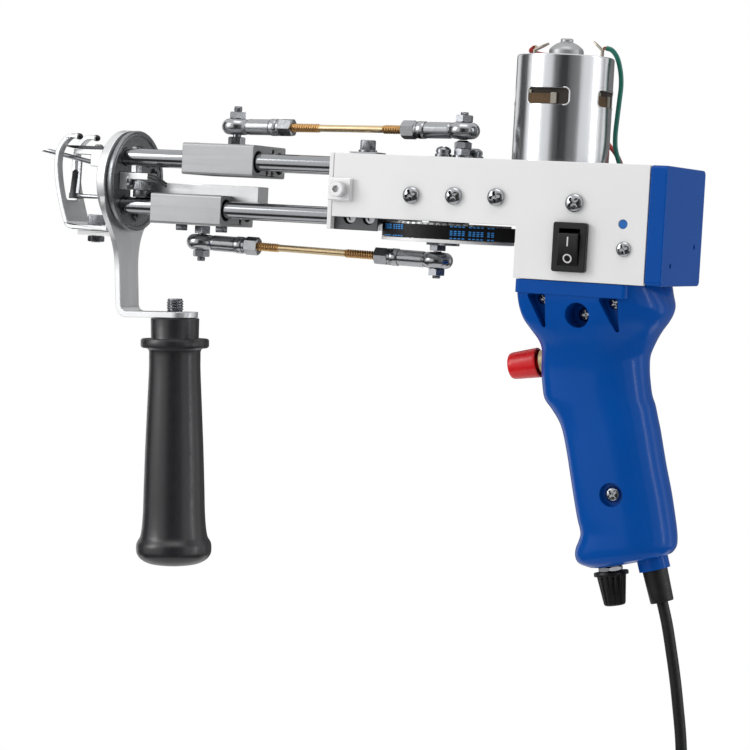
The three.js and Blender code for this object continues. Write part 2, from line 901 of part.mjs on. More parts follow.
function frontPlate() {
  const reach = armFlareWidth / 2;
  const strip = armWidth / 2;
  const flare = new THREE.Shape();
  flare.moveTo(-reach, armFlareTop);
  flare.bezierCurveTo(-reach, armFlareTop / 2, -strip, armFlareTop / 2, -strip, armFlareBottom);
  flare.lineTo(-strip, armElbow - overrun);
  flare.lineTo(strip, armElbow - overrun);
  flare.lineTo(strip, armFlareBottom);
  flare.bezierCurveTo(strip, armFlareTop / 2, reach, armFlareTop / 2, reach, armFlareTop);
  flare.lineTo(0, ringZ);
  const arm = sidePrism(armSide(), -reach, reach).intersect(
    frontPrism(flare, bossFront - overrun, armFoot + overrun),
  );
  const disc = circle(ringRadius, largeSides);
  const footEnd = flatPrism(
    roundedBox(
      armFoot - bossFront + armFootRound,
      armWidth,
      armFootRound,
      (bossFront + armFoot - armFootRound) / 2,
    ),
    armElbow - overrun,
    armTop,
  );
  const whole = join(
    frontPrism(disc, sheetRear - sheet, sheetRear).translate([0, 0, ringZ]),
    frontPrism(disc, bossFront, sheetRear - sheet + seam).translate([0, 0, ringZ]),
    arm.subtract(
      block(handleX, armFoot + overrun, -reach, reach, armElbow - overrun, armTop).subtract(footEnd),
    ),
  );
  const studHole = postZ(studDiameter / 2 + seam, handleX, 0, armElbow - overrun, armTop);
  return cut(whole, slotThrough(bossFront, sheetRear), studHole);
}
add('front_plate', frontPlate(), whiteAluminium());

function ringBlock() {
  const front = ringRear - ringRecess + seam;
  const rear = front + ringBlockLength;
  const near = ringBlockY - ringBlockWidth;
  return join(
    block(front, front + ringBlockFootLength, near, ringBlockY, ringBlockBottom, ringBlockTop),
    block(front, rear, near, ringBlockY, ringBlockTop - ringBlockArm, ringBlockTop),
  );
}
add('ring_block', ringBlock(), whiteAluminium());

// Presser foot: one bent strip with a slot between two prongs.
function footPath() {
  const rise = footHeight - footBarZ;
  const barMiddle = footBarZ - footThickness / 2;
  const places = [
    [footRear, barMiddle],
    [footBoltX, barMiddle],
    [footBend + footThickness * 2, barMiddle],
    [footBend + footThickness * 0.8, barMiddle + rise * 0.004],
    [footBend - footReach * 0.12, barMiddle + rise * 0.045],
    [footBend - footReach * 0.28, barMiddle + rise * 0.14],
    [footBend - footReach * 0.62, barMiddle + rise * 0.42],
    [footBend - footReach * 0.9, barMiddle + rise * 0.75],
    [footBend - footReach * 0.98, barMiddle + rise],
    [footBend - footReach * 0.88, barMiddle + rise * 1.17],
    [footBend - footReach * 0.55, barMiddle + rise * 1.32],
    [footBend - footReach * 0.13, barMiddle + rise * 1.4],
    [footBend + footReach * 0.38, barMiddle + rise * 1.395],
  ];
  return places.map(([x, z]) => new THREE.Vector3(x, 0, z));
}

// The two sides of a strip of even thickness about a smooth path in X and Z.
function stripShape(path, thickness, steps) {
  const curve = new THREE.CatmullRomCurve3(path, false, 'centripetal');
  const left = [];
  const right = [];
  for (let i = 0; i <= steps; i += 1) {
    const at = curve.getPoint(i / steps);
    const along = curve.getTangent(i / steps);
    const [sideX, sideZ] = [(-along.z * thickness) / 2, (along.x * thickness) / 2];
    left.push([at.x + sideX, at.z + sideZ]);
    right.push([at.x - sideX, at.z - sideZ]);
  }
  return outline([...left, ...right.reverse()]);
}

function presserFoot() {
  const strip = sidePrism(stripShape(footPath(), footThickness, footSteps), -footWidth / 2, footWidth / 2);
  const half = footWidth / 2 - footProng;
  const [x0, x1] = [footBend - footReach * 2, footBend + footReach];
  const slotLength = footHeight * 2;
  const slot = frontPrism(
    roundedBox(half * 2, slotLength, footSlotRound, 0, footSlotBottom + slotLength / 2),
    x0,
    x1,
  );
  const hole = postZ(footBoltDiameter / 2 + seam, footBoltX, 0, 0, footBarZ + overrun);
  return cut(strip, slot, hole);
}
add('presser_foot', presserFoot(), whiteAluminium());

const bracketTop = footBarZ - footThickness - seam;
function footBracket() {
  const rear = bossFront - seam;
  const half = bracketWidth / 2;
  const low = bracketTop - bracketThickness;
  const bar = block(bracketFront, rear, -half, half, low, bracketTop);
  const lip = block(footRear + seam, rear, -half, half, low, bracketLipTop);
  const hole = postZ(footBoltDiameter / 2 + seam, footBoltX, 0, 0, footBarZ);
  return cut(join(bar, lip), hole);
}
add('foot_bracket', footBracket(), whiteAluminium());

function footBolt() {
  const headLow = footBarZ + seam;
  const headHigh = headLow + footBoltHeadHeight;
  const nutHigh = bracketTop - bracketThickness - seam;
  const nutLow = nutHigh - footNutHeight;
  const socketLow = headHigh - footBoltHeadHeight / 2;
  const socket = hexZ(footBoltDiameter * 0.8, footBoltX, 0, socketLow, headHigh + overrun);
  return cut(
    join(
      postZ(footBoltHead / 2, footBoltX, 0, headLow, headHigh),
      postZ(footBoltDiameter / 2, footBoltX, 0, nutLow - footBoltTail, headHigh),
      hexZ(footNutAcross, footBoltX, 0, nutLow, nutHigh),
    ),
    socket,
  );
}
add('foot_bolt', footBolt(), darkSteel());

// Side handle, which leans with the arm
const handleTop = armElbow + Math.tan(footRise) * (handleX - elbowX) - seam;
const handleGroup = group(handleX, 0, handleTop);
handleGroup.rotation.y = -footRise;

function sideHandle() {
  const neckEnd = handleLength * 0.083;
  const flangeEnd = handleLength * 0.12;
  const profile = [
    [0, 0],
    [neckRadius, 0],
    [neckRadius * 0.985, -neckEnd],
    [flangeRadius * 0.96, -neckEnd],
    [flangeRadius, -neckEnd - (flangeEnd - neckEnd) / 2],
    [flangeRadius * 0.96, -flangeEnd],
    [gripTopRadius, -flangeEnd - (flangeEnd - neckEnd) / 3],
    [gripTopRadius, -handleLength * 0.2],
    [gripTopRadius * 1.06, -handleLength * 0.35],
    [gripTopRadius * 1.13, -handleLength * 0.52],
    [gripTopRadius * 1.18, -handleLength * 0.68],
    [gripTopRadius * 1.22, -handleLength * 0.8],
    [gripTopRadius * 1.28, -handleLength * 0.865],
    [bulgeRadius * 0.985, -handleLength * 0.91],
    [bulgeRadius, -handleLength * 0.93],
    [bulgeRadius * 0.985, -handleLength * 0.952],
    [bulgeRadius * 0.84, -handleLength * 0.978],
    [bulgeRadius * 0.6, -handleLength * 0.995],
    [0, -handleLength],
  ];
  return cut(turned(profile), postZ(studDiameter / 2 + seam, 0, 0, -studDepth - seam, overrun));
}
add('side_handle', sideHandle(), blackRubber(), handleGroup);
add(
  'side_handle_stud',
  postZ(studDiameter / 2, 0, 0, -studDepth, seam + sheet + studRise),
  plainSteel(),
  handleGroup,
);

// Motor and its deck

function motorDeck() {
  const low = deckTop - deckThickness;
  const plate = block(deckFront, deckRear, -insideY, insideY, low, deckTop);
  const screwX = mainScrewXs[mainScrewXs.length - 1];
  const lug = (side) => {
    const [a, b] = [side * insideY, side * (insideY - lugWidth)];
    const [y0, y1] = [Math.min(a, b), Math.max(a, b)];
    return block(screwX - lugLength / 2, screwX + lugLength / 2, y0, y1, low, lugTop);
  };
  const screwHole = pinY(mainScrewHole / 2, screwX, mainScrewZ, -plateInnerY, plateInnerY);
  const can = postZ(motorRadius + seam, motorX, 0, deckTop, motorTop, roundSides);
  return cut(
    join(plate, lug(-1), lug(1)),
    screwHole,
    can,
    postZ(deckHole, motorX, 0, low - overrun, deckTop + overrun),
  );
}
add('motor_deck', motorDeck(), satinAluminium());

function motorCan() {
  const bottom = deckTop + seam;
  const bossTop = motorTop + motorBossHeight;
  const profile = [
    [0, bottom],
    [motorRadius - motorEdge, bottom],
    [motorRadius, bottom + motorEdge],
    [motorRadius, motorTop - motorEdge],
    [motorRadius - motorEdge, motorTop],
    [motorBossRadius, motorTop],
    [motorBossRadius, motorTop + motorBossSide],
    [motorBossTopRadius, bossTop],
    [motorRingRadius, bossTop],
    [motorRingRadius, bossTop + motorRingHeight],
    [motorRingBore, bossTop + motorRingHeight],
    [motorRingBore, bossTop + motorEdge / 2],
    [0, bossTop + motorEdge / 2],
  ];
  const half = motorRadius * Math.sin(windowHalfAngle);
  const near = motorRadius - windowDepth;
  const far = motorRadius + overrun;
  const windows = join(
    block(-half, half, near, far, windowLow, windowHigh),
    block(-half, half, -far, -near, windowLow, windowHigh),
    block(near, far, -half, half, windowLow, windowHigh),
    block(-far, -near, -half, half, windowLow, windowHigh),
  );
  const tab = (side) => {
    const middle = side * terminalReach;
    return block(
      middle - terminalThickness / 2,
      middle + terminalThickness / 2,
      -terminalWidth / 2,
      terminalWidth / 2,
      motorTop - motorEdge,
      motorTop + terminalHeight,
    );
  };
  return join(cut(turned(profile, largeSides), windows), tab(-1), tab(1)).translate([motorX, 0, 0]);
}
add('motor_can', motorCan(), polishedSteel());

// Belt drive

function toothedDisc(teeth, radius, low, high) {
  const points = [];
  for (let i = 0; i < teeth; i += 1) {
    for (const [at, deep] of [[0, 0], [0.5, 0], [0.75, 1]]) {
      const turn = (2 * Math.PI * (i + at)) / teeth;
      const r = radius - toothDepth * deep;
      points.push([r * Math.cos(turn), r * Math.sin(turn)]);
    }
  }
  return flatPrism(outline(points), low, high);
}

function motorPulley() {
  const outer = motorPulleyRadius + flangeProud;
  const shaft = postZ(motorShaftDiameter / 2, 0, 0, pulleyLow, deckTop);
  return join(
    toothedDisc(motorTeeth, motorPulleyRadius, pulleyLow, pulleyHigh),
    postZ(outer, 0, 0, pulleyLow - flangeThickness, pulleyLow + pulleyMargin - seam),
    postZ(outer, 0, 0, pulleyHigh - pulleyMargin + seam, pulleyHigh),
    shaft,
  );
}
const motorAxle = group(motorX, 0, 0);
add('motor_pulley', motorPulley(), satinAluminium(), motorAxle);

const crankAxle = group(crankX, 0, 0);
const shaftRadius = crankShaftDiameter / 2;
add(
  'driven_pulley',
  cut(
    join(
      toothedDisc(drivenTeeth, drivenRadius, pulleyLow, pulleyHigh),
      postZ(hubRadius, 0, 0, pulleyHigh, bearingBlockLow - seam - slip),
    ),
    postZ(shaftRadius + seam, 0, 0, pulleyLow - overrun, bearingBlockLow),
  ),
  whiteAluminium(),
  crankAxle,
);

// The belt's loop: outer tangents round both pulleys.
function beltLoop(extra) {
  const big = drivenRadius + extra;
  const small = motorPulleyRadius + extra;
  const span = motorX - crankX;
  const tilt = Math.asin((big - small) / span);
  const shape = new THREE.Shape();
  const turn = Math.PI / 2 - tilt;
  shape.absarc(0, 0, big, turn, 2 * Math.PI - turn, false);
  shape.absarc(span, 0, small, -turn, turn, false);
  return shape;
}

function timingBelt() {
  const points = (extra) => beltLoop(extra).getPoints(beltSteps);
  const outer = new THREE.Shape(points(slip + beltThickness));
  const inner = new THREE.Shape(points(slip));
  return cut(
    flatPrism(outer, beltLow, beltHigh),
    flatPrism(inner, beltLow - overrun, beltHigh + overrun),
  ).translate([crankX, 0, 0]);
}
add('timing_belt', timingBelt(), blackRubber());

// Crank, in its bearing block

const boreLow = bearingBlockLow + bearingThickness + seam;
const boreHigh = bearingBlockHigh - bearingThickness - seam;
function bearingBlock() {
  const block0 = block(
    bearingBlockFront,
    bearingBlockRear,
    -insideY,
    insideY,
    bearingBlockLow,
    bearingBlockHigh,
  );
  const bore = (bearingOuter - bearingShoulder) / 2;
  const seat = bearingOuter / 2 + seam;
  const screws = mainScrewXs
    .filter((x) => x < bearingBlockRear)
    .flatMap((x) => [
      pinY(mainScrewHole / 2, x, mainScrewZ, -plateInnerY, -plateInnerY / 2),
      pinY(mainScrewHole / 2, x, mainScrewZ, plateInnerY / 2, plateInnerY),
    ]);
  return cut(
    block0,
    postZ(seat, crankX, 0, bearingBlockLow - overrun, boreLow, roundSides),
    postZ(seat, crankX, 0, boreHigh, bearingBlockHigh + overrun, roundSides),
    postZ(bore, crankX, 0, boreLow - overrun, boreHigh + overrun, roundSides),
    ...screws,
  );
}
add('crank_bearing_block', bearingBlock(), satinAluminium());

add(
  'crank_bearing_top',
  cut(
    postZ(bearingOuter / 2, crankX, 0, bearingBlockHigh - bearingThickness, bearingBlockHigh, roundSides),
    postZ(shaftRadius + slip, crankX, 0, 0, bodyTop),
  ),
  plainSteel(),
);

function crankshaft() {
  const hexLow = discHigh;
  const pinX = topPinX - crankX;
  const screws = discScrewAngles.map((angle, i) => {
    const far = discScrewThrows[i];
    const [x, y] = [far * Math.cos(angle), far * Math.sin(angle)];
    return postZ(discScrewRadius, x, y, discLow, discHigh + discScrewHeight);
  });
  return join(
    postZ(shaftRadius, 0, 0, lowCrankLow + lowCrankThickness / 2, discLow + overrun),
    postZ(discRadius, 0, 0, discLow, discHigh, roundSides),
    hexZ(pinNutAcross, pinX, topPinY, hexLow - overrun, pinHexTop),
    ...screws,
  );
}
add('crankshaft', crankshaft(), plainSteel(), crankAxle);

// The arm under the pulley, with the nut and stud of the lower pin.
function lowCrank() {
  const pinX = lowPinX - crankX;
  const hexBottom = lowRearBallZ + neckRise;
  const lobe = (x, y) => circle(lowCrankRadius, smallSides).getPoints().map((p) => [p.x + x, p.y + y]);
  const turn = Math.atan2(lowPinY, pinX);
  const side = [-Math.sin(turn) * lowCrankRadius, Math.cos(turn) * lowCrankRadius];
  const web = outline([
    [side[0], side[1]],
    [-side[0], -side[1]],
    [pinX - side[0], lowPinY - side[1]],
    [pinX + side[0], lowPinY + side[1]],
  ]);
  const link = join(
    flatPrism(outline(lobe(0, 0)), lowCrankLow, lowCrankHigh),
    flatPrism(outline(lobe(pinX, lowPinY)), lowCrankLow, lowCrankHigh),
    flatPrism(web, lowCrankLow, lowCrankHigh),
  );
  return cut(
    join(link, hexZ(pinNutAcross, pinX, lowPinY, hexBottom, lowCrankLow + seam)),
    postZ(shaftRadius + seam, 0, 0, lowCrankLow - overrun, lowCrankHigh + overrun),
  );
}
add('bottom_crank', lowCrank(), plainSteel(), crankAxle);

// Ball joints and connecting rods

// The ball with its stem: the stem leaves the eye upwards (up = 1) or downwards and carries a nut. The foot is
// how far the stem runs the other way, and its spacer is a nut at its end.
function ballStud(foot, up, spacer = 0) {
  const nutLow = eyeHalfHeight + seam;
  const stemEnd = nutLow + ballNutHeight + stemTail;
  const steps = ballSteps + 1;
  const profile = [[0, -foot], [stemRadius, -foot]];
  const start = Math.asin(stemRadius / ballRadius);
  for (let i = 0; i <= steps; i += 1) {
    const turn = start + ((Math.PI - 2 * start) * i) / steps;
    profile.push([ballRadius * Math.sin(turn), -ballRadius * Math.cos(turn)]);
  }
  profile.push([stemRadius, stemEnd], [0, stemEnd]);
  let made = join(turned(profile, ballSides), hexZ(ballNutAcross, 0, 0, nutLow, nutLow + ballNutHeight));
  if (spacer > 0) made = join(made, hexZ(ballNutAcross, 0, 0, -foot, -foot + spacer));
  return up > 0 ? made : made.rotate([180, 0, 0]);
}

// A rod end: an eye round the ball and a sleeve along +X, with its lock nut.
function rodEnd() {
  const socket = ballRadius + slip;
  const mouth = Math.sqrt(socket * socket - eyeHalfHeight * eyeHalfHeight);
  const steps = ballSteps - 1;
  const profile = [];
  const start = Math.acos(eyeHalfHeight / socket);
  for (let i = 0; i <= steps; i += 1) {
    const turn = start + ((Math.PI - 2 * start) * i) / steps;
    profile.push([socket * Math.sin(turn), -socket * Math.cos(turn)]);
  }
  const lip = (eyeRadius + mouth) / 2;
  profile.push(
    [lip, eyeHalfHeight],
    [eyeRadius, eyeWaist],
    [eyeRadius, -eyeWaist],
    [lip, -eyeHalfHeight],
    [profile[0][0], profile[0][1]],
  );
  const eye = turned(profile, smallSides);
  const neck = rodX(eyeHalfHeight * 0.8, 0, 0, socket + seam, sleeveStart + overrun);
  const sleeve = frontPrism(circle(sleeveRadius, ballSides), sleeveStart, sleeveEnd, sleeveRadius * 0.2);
  const nutShape = circle(rodNutAcross / Math.sqrt(3), hexSides);
  const nut = frontPrism(nutShape, sleeveEnd - seam, sleeveEnd + rodNutLength);
  const bore = rodX(sleeveBore, 0, 0, sleeveEnd - rodEngagement - seam, sleeveEnd + rodNutLength + overrun);
  return cut(join(eye, neck, sleeve, nut), bore);
}

function rodBar(length) {
  const start = sleeveEnd - rodEngagement;
  const end = length - start;
  return join(
    rodX(rodRadius, 0, 0, start, end, smallSides),
    rodX(rodThreadRadius, 0, 0, start, topFrontThread, smallSides),
    rodX(rodThreadRadius, 0, 0, length - topRearThread, end, smallSides),
  );
}

function connectingRod(name, front, rear, up) {
  const reach = new THREE.Vector3(...rear).sub(new THREE.Vector3(...front));
  const length = reach.length();
  const rod = group(...front);
  rod.quaternion.setFromUnitVectors(new THREE.Vector3(1, 0, 0), reach.clone().normalize());
  const rearEnd = group(length, 0, 0, rod);
  rearEnd.rotation.z = Math.PI;
  add(name + '_rod_front_end', rodEnd(), polishedSteel(), rod);
  add(name + '_rod_rear_end', rodEnd(), polishedSteel(), rearEnd);
  add(name + '_rod_bar', rodBar(length), brass(), rod);
  const rearBall = group(...rear);
  add(name + '_ball_rear', ballStud(neckRise - seam, up), plainSteel(), rearBall);
}

connectingRod(
  'top',
  [topFrontBallX, 0, topFrontBallZ],
  [topPinX, topPinY, topRearBallZ],
  1,
);
connectingRod(
  'bottom',
  [lowFrontBallX, 0, lowFrontBallZ],
  [lowPinX, lowPinY, lowRearBallZ],
  -1,
);
add(
  'top_ball_front',
  ballStud(topFrontBallZ - needleBlockHigh - seam, 1, frontSpacer),
  plainSteel(),
  group(topFrontBallX, 0, topFrontBallZ),
);
add(
  'bottom_ball_front',
  ballStud(hookBlockLow - lowFrontBallZ - seam, -1, frontSpacer),
  plainSteel(),
  group(lowFrontBallX, 0, lowFrontBallZ),
);

// Carriages

function carriage(front, rear, low, high, shaftZ) {
  const shape = roundedBox(carriageWidth, high - low, carriageEdge, 0, (low + high) / 2);
  const bores = [-shaftSpread, shaftSpread].flatMap((y) => [
    rodX(shaftDiameter / 2 + slip, y, shaftZ, front - overrun, rear + overrun),
    rodX(carriageSeat, y, shaftZ, front - overrun, front + carriageSeatDepth),
    rodX(carriageSeat, y, shaftZ, rear - carriageSeatDepth, rear + overrun),
  ]);
  return cut(frontPrism(shape, front, rear, carriageEdge / 3), ...bores);
}
add(
  'needle_carriage',
  carriage(needleBlockFront, needleBlockRear, needleBlockLow, needleBlockHigh, upperShaftZ),
  satinAluminium(),
);
const groove = block(
  hookBlockFront - overrun,
  hookBlockRear + overrun,
  -hookBarHalf - seam,
  hookBarHalf + seam,
  hookBarLow - seam,
  hookBlockHigh + overrun,
);
add(
  'hook_carriage',
  cut(carriage(hookBlockFront, hookBlockRear, hookBlockLow, hookBlockHigh, lowerShaftZ), groove),
  satinAluminium(),
);

const needleLength = (needleRearX - needleTipX) / Math.cos(needleSlope);
const needleRise = Math.tan(needleSlope);
function alongNeedle(radius, from, to) {
  const made = rodX(radius, 0, 0, from, to, smallSides);
  return made.rotate([0, (needleSlope * 180) / Math.PI, 0]).translate([needleTipX, 0, needleTipZ]);
}

function needleBar() {
  const clampRear = clampFront + clampLength;
  const bar = block(
    clampFront + seam,
    needleBlockFront - seam,
    -needleBarHalf,
    needleBarHalf,
    needleBarLow,
    needleBarHigh,
  );
  const clamp = block(clampFront, clampRear, -needleBarHalf, needleBarHalf, clampLow, clampHigh);
  const seat = block(bladeSeatFront, bladeRear, -needleBarHalf, needleBarHalf, bladeSeatLow, bladeSeatHigh);
  return cut(join(bar, clamp, seat), alongNeedle(needleRadius + seam, 0, needleLength + overrun));
}
add('needle_bar', needleBar(), whiteAluminium());

function needle() {
  const tube = cut(
    alongNeedle(needleRadius, 0, needleLength),
    alongNeedle(needleBore, -overrun, needleLength + overrun),
  );
  const size = needleRadius * 6;
  const slant = block(-size, 0, -size, size, -size, size);
  const turn = ((Math.PI / 2 - needleTipCut) * 180) / Math.PI + (needleSlope * 180) / Math.PI;
  const tipAt = [needleTipX + needleRadius, 0, needleTipZ - needleRadius * needleRise];
  return cut(tube, slant.rotate([0, turn, 0]).translate(tipAt));
}
add('needle', needle(), polishedSteel());

function needleBlade() {
  const low = bladeSeatHigh + seam;
  const shape = outline([
    [bladeTip, low + bladeThickness],
    [bladeTip + bladeBevel, low],
    [bladeRear, low],
    [bladeRear, low + bladeThickness],
  ]);
  return sidePrism(shape, -bladeHalf, bladeHalf);
}
add('needle_blade', needleBlade(), darkSteel());

function hookBar() {
  const bar = block(hookBarFront, hookBarRear, -hookBarHalf, hookBarHalf, hookBarLow, hookBarHigh);
  const padRear = hookBlockFront - seam;
  const padLow = hookBarLow - hookRodDrop;
  const pad = block(hookBarFront, padRear, -hookBarHalf, hookBarHalf, padLow, hookBarLow + seam);
  const hole = rodX(hookRodRadius + seam, 0, hookRodZ, hookBarFront - overrun, padRear + overrun);
  return cut(join(bar, pad), hole);
}
add('hook_bar', hookBar(), whiteAluminium());

function hook() {
  const rear = hookBlockFront - seam * 2;
  const foot = hookRodFront - hookFootLength / 2;
  const low = hookRodZ - hookFootHeight / 2;
  const high = hookRodZ + hookFootHeight / 2;
  const rod = rodX(hookRodRadius, 0, hookRodZ, hookRodFront, rear, smallSides);
  const base = block(foot, foot + hookFootLength, -hookRodRadius, hookArmY + hookArmThickness, low, high);
  const armFront = foot + hookFootLength - hookArmLength;
  const armFar = hookArmY + hookArmThickness;
  const arm = block(armFront, armFront + hookArmLength, hookArmY, armFar, low, hookArmTop);
  const blade = sidePrism(
    outline([
      [foot, low],
      [foot + hookBladeLength, low],
      [foot + hookBladeLength + hookBladeLean, hookBladeTop - hookBladeLean],
      [foot + hookBladeLean * 2, hookBladeTop],
      [foot + hookBladeLean, hookBladeTop - hookBladeLean],
    ]),
    -hookBladeHalf,
    hookBladeHalf,
  );
  return join(rod, base, arm, blade);
}
add('hook', hook(), darkSteel());

// Pistol grip

const gripPoint = (across, down) => [gripFrontX + across * gripDepth, -seam - down * (gripLength - seam)];

// One half section, from its front point round the near side to its rear point.
function halfSection(row, wall, steps) {
  const [frontAcross, frontDown, rearAcross, rearDown, width, frontSquare, rearSquare] = row;
  const [fx, fz] = gripPoint(frontAcross, frontDown);
  const [rx, rz] = gripPoint(rearAcross, rearDown);
  const half = Math.hypot(rx - fx, rz - fz) / 2;
  const middle = [(fx + rx) / 2, (fz + rz) / 2];
  const along = [(rx - fx) / (2 * half), (rz - fz) / (2 * half)];
  const points = [];
  for (let i = 0; i <= steps; i += 1) {
    const turn = (Math.PI * i) / steps;
    const square = turn < Math.PI / 2 ? frontSquare : rearSquare;
    const cosine = Math.cos(turn);
    const reach = -Math.sign(cosine) * Math.abs(cosine) ** (2 / square) * (half - wall);
    const out = Math.sin(turn) ** (2 / square) * (width * gripHalfWidth - wall);
    points.push([middle[0] + along[0] * reach, -out, middle[1] + along[1] * reach]);
  }
  return points;
}

// A closed half grip between the parting plane and the near side.
function halfGrip(wall, endShift, parting, steps = outsideSteps, every = 1) {
  const end = gripSectionShares.length - 1;
  const followed = gripSectionShares.filter((row, i) => i % every === 0 || i === end);
  const rows = followed.map((row) => halfSection(row, wall, steps));
  const first = rows[0].map(([x, y, z]) => [x, y, z + endShift]);
  const last = rows[rows.length - 1].map(([x, y, z]) => [x, y, z + wall]);
  const rings = [first, ...rows.slice(1, -1), last].map((ring) =>
    ring.map(([x, y, z], i) => [x, i === 0 || i === steps ? parting : Math.min(y, parting), z]),
  );
  const width = steps + 1;
  const positions = rings.flat(2);
  const index = [];
  const quad = (a, b, c, d) => index.push(a, b, c, a, c, d);
  for (let j = 0; j < rings.length - 1; j += 1) {
    for (let i = 0; i < steps; i += 1) {
      quad(j * width + i, j * width + i + 1, (j + 1) * width + i + 1, (j + 1) * width + i);
    }
    quad(j * width + steps, j * width, (j + 1) * width, (j + 1) * width + steps);
  }
  const bottom = (rings.length - 1) * width;
  for (let i = 1; i < steps; i += 1) {
    index.push(0, i + 1, i);
    index.push(bottom, bottom + i, bottom + i + 1);
  }
  const geometry = new THREE.BufferGeometry();
  geometry.setAttribute('position', new THREE.Float32BufferAttribute(positions, 3));
  geometry.setIndex(index);
  return solidOf(geometry);
}

function tilted(solid, tilt, x, z) {
  return solid.rotate([0, (-tilt * 180) / Math.PI, 0]).translate([x, 0, z]);
}

function triggerHole() {
  const hole = rodX(bushRadius + seam, 0, 0, -bushLength, bushLength);
  return hole.rotate([0, (-triggerTilt * 180) / Math.PI, 0]).translate([triggerX, 0, triggerZ]);
}

function gripShell(side) {
  const outer = halfGrip(0, 0, -gripSplit);
  const inner = halfGrip(gripWall, overrun, gripSplit, insideSteps, insideEvery);
  const flange = flatPrism(
    roundedBox(flangeRear - flangeFront, 2 * flangeHalfWidth, capRound, (flangeFront + flangeRear) / 2, 0),
    -flangeDrop,
    flangeTop,
  );
  const nearHalf = block(flangeFront - overrun, bodyRear, -bodyWidth, -gripSplit, -gripLength, 0);
  const flangeHollow = block(
    flangeFront + gripWall,
    flangeRear - gripWall,
    -flangeHalfWidth + gripWall,
    overrun,
    -flangeDrop - overrun,
    overrun,
  );
  const collar = tilted(
    postZ(collarRadius, 0, 0, -collarLength, sleeveInside, smallSides),
    sleeveTilt,
    sleeveX,
    sleeveZ,
  ).intersect(block(0, bodyRear * 2, -collarRadius * 2, -gripSplit, -gripLength * 2, 0));
  let shell = cut(join(outer, flange.intersect(nearHalf), collar), inner, flangeHollow);
  const pockets = pocketFronts.map((x) => {
    const shape = outline([
      [x, -pocketTop],
      [x + pocketWidth, -pocketTop - pocketHeight],
      [x + pocketWidth, -pocketTop],
    ]);
    return sidePrism(shape, -bodyWidth, -flangeHalfWidth + pocketDepth);
  });
  const pocketBacks = pocketFronts.map((x) =>
    block(
      x - gripWall,
      x + pocketWidth + gripWall,
      -bodyWidth,
      -flangeHalfWidth + pocketDepth + gripWall,
      -pocketTop - pocketHeight - gripWall,
      -pocketTop + gripWall,
    ),
  );
  const body = halfGrip(weld * 100, 0, -gripSplit);
  shell = join(shell, ...pocketBacks.map((back) => back.intersect(body)));
  const port = pinY(gripPortRadius + gripWall / 2, gripPortX, gripPortZ, -bodyWidth, -gripPortDepth);
  shell = join(shell, port.intersect(body));
  const screwSeat = pinY(
    gripScrewRadius + gripWall / 2,
    gripScrewX,
    gripScrewZ,
    -gripHalfWidth,
    -gripHalfWidth * 0.67 + gripScrewDepth + gripWall / 2,
  ).intersect(body);
  shell = cut(
    join(shell, screwSeat),
    ...pockets,
    pinY(gripPortRadius, gripPortX, gripPortZ, -bodyWidth, -gripPortDepth - gripWall / 2),
    pinY(gripScrewRadius, gripScrewX, gripScrewZ, -bodyWidth, -gripHalfWidth * 0.67 + gripScrewDepth),
    triggerHole(),
    tilted(
      postZ(dialBushRadius + seam, 0, 0, -dialBushLength * 2, dialBushLength * 2),
      dialTilt,
      dialX,
      dialZ,
    ),
    tilted(
      postZ(sleeveTopRadius + seam, 0, 0, -sleeveLength * 2, sleeveInside + seam),
      sleeveTilt,
      sleeveX,
      sleeveZ,
    ),
  );
  return side < 0 ? shell : shell.mirror([0, 1, 0]);
}
add('grip_shell_near', gripShell(-1), bluePlastic());
add('grip_shell_far', gripShell(1), bluePlastic());

// Trigger: its own group looks along the button's axis, with +X into the grip.
const trigger = group(triggerX, 0, triggerZ);
trigger.rotation.y = -triggerTilt;
add(
  'trigger_bush',
  cut(
    rodX(bushRadius, 0, 0, -bushProud, bushLength - bushProud),
    rodX(bushBore, 0, 0, -bushLength, bushLength),
  ),
  brass(),
  trigger,
);
function triggerButton() {
  const rear = -buttonLift;
  const front = rear - buttonLength;
  const steps = [
    [0, -front],
    [buttonFrontRadius * 0.86, -front],
    [buttonFrontRadius, -front - buttonWall],
    [buttonRearRadius, -rear],
    [0, -rear],
  ];
  const cap = turned(steps, roundSides).rotate([0, -90, 0]);
  const hollow = rodX(bushRadius + slip, 0, 0, rear - buttonSkirt, rear + overrun);
  const stemEnd = rear - buttonSkirt + buttonStemLength;
  const stem = rodX(buttonStemRadius, 0, 0, rear - buttonSkirt - seam, stemEnd);
  return join(cut(cap, hollow), stem);
}
add('trigger_button', triggerButton(), redPlastic(), trigger);

// Rocker switch on the near plate

function switchHousing() {
  const outer = -plateOuterY - seam - bezelProud;
  const bezel = sidePrism(
    roundedBox(bezelLength, bezelHeight, bezelProud / 2, switchX, switchZ),
    outer,
    -plateOuterY - seam,
    bezelProud / 3,
  );
  const back = -plateOuterY + switchBodyDepth;
  const body = block(
    switchX - switchBodyLength / 2,
    switchX + switchBodyLength / 2,
    outer + bezelProud / 2,
    back,
    switchZ - switchBodyHeight / 2,
    switchZ + switchBodyHeight / 2,
  );
  const well = block(
    switchX - rockerLength / 2 - slip,
    switchX + rockerLength / 2 + slip,
    outer - overrun,
    back - bezelProud,
    switchZ - rockerHeight / 2 - slip * 3,
    switchZ + rockerHeight / 2 + slip * 3,
  );
  return cut(join(bezel, body), well);
}
add('switch_housing', switchHousing(), blackPlastic());

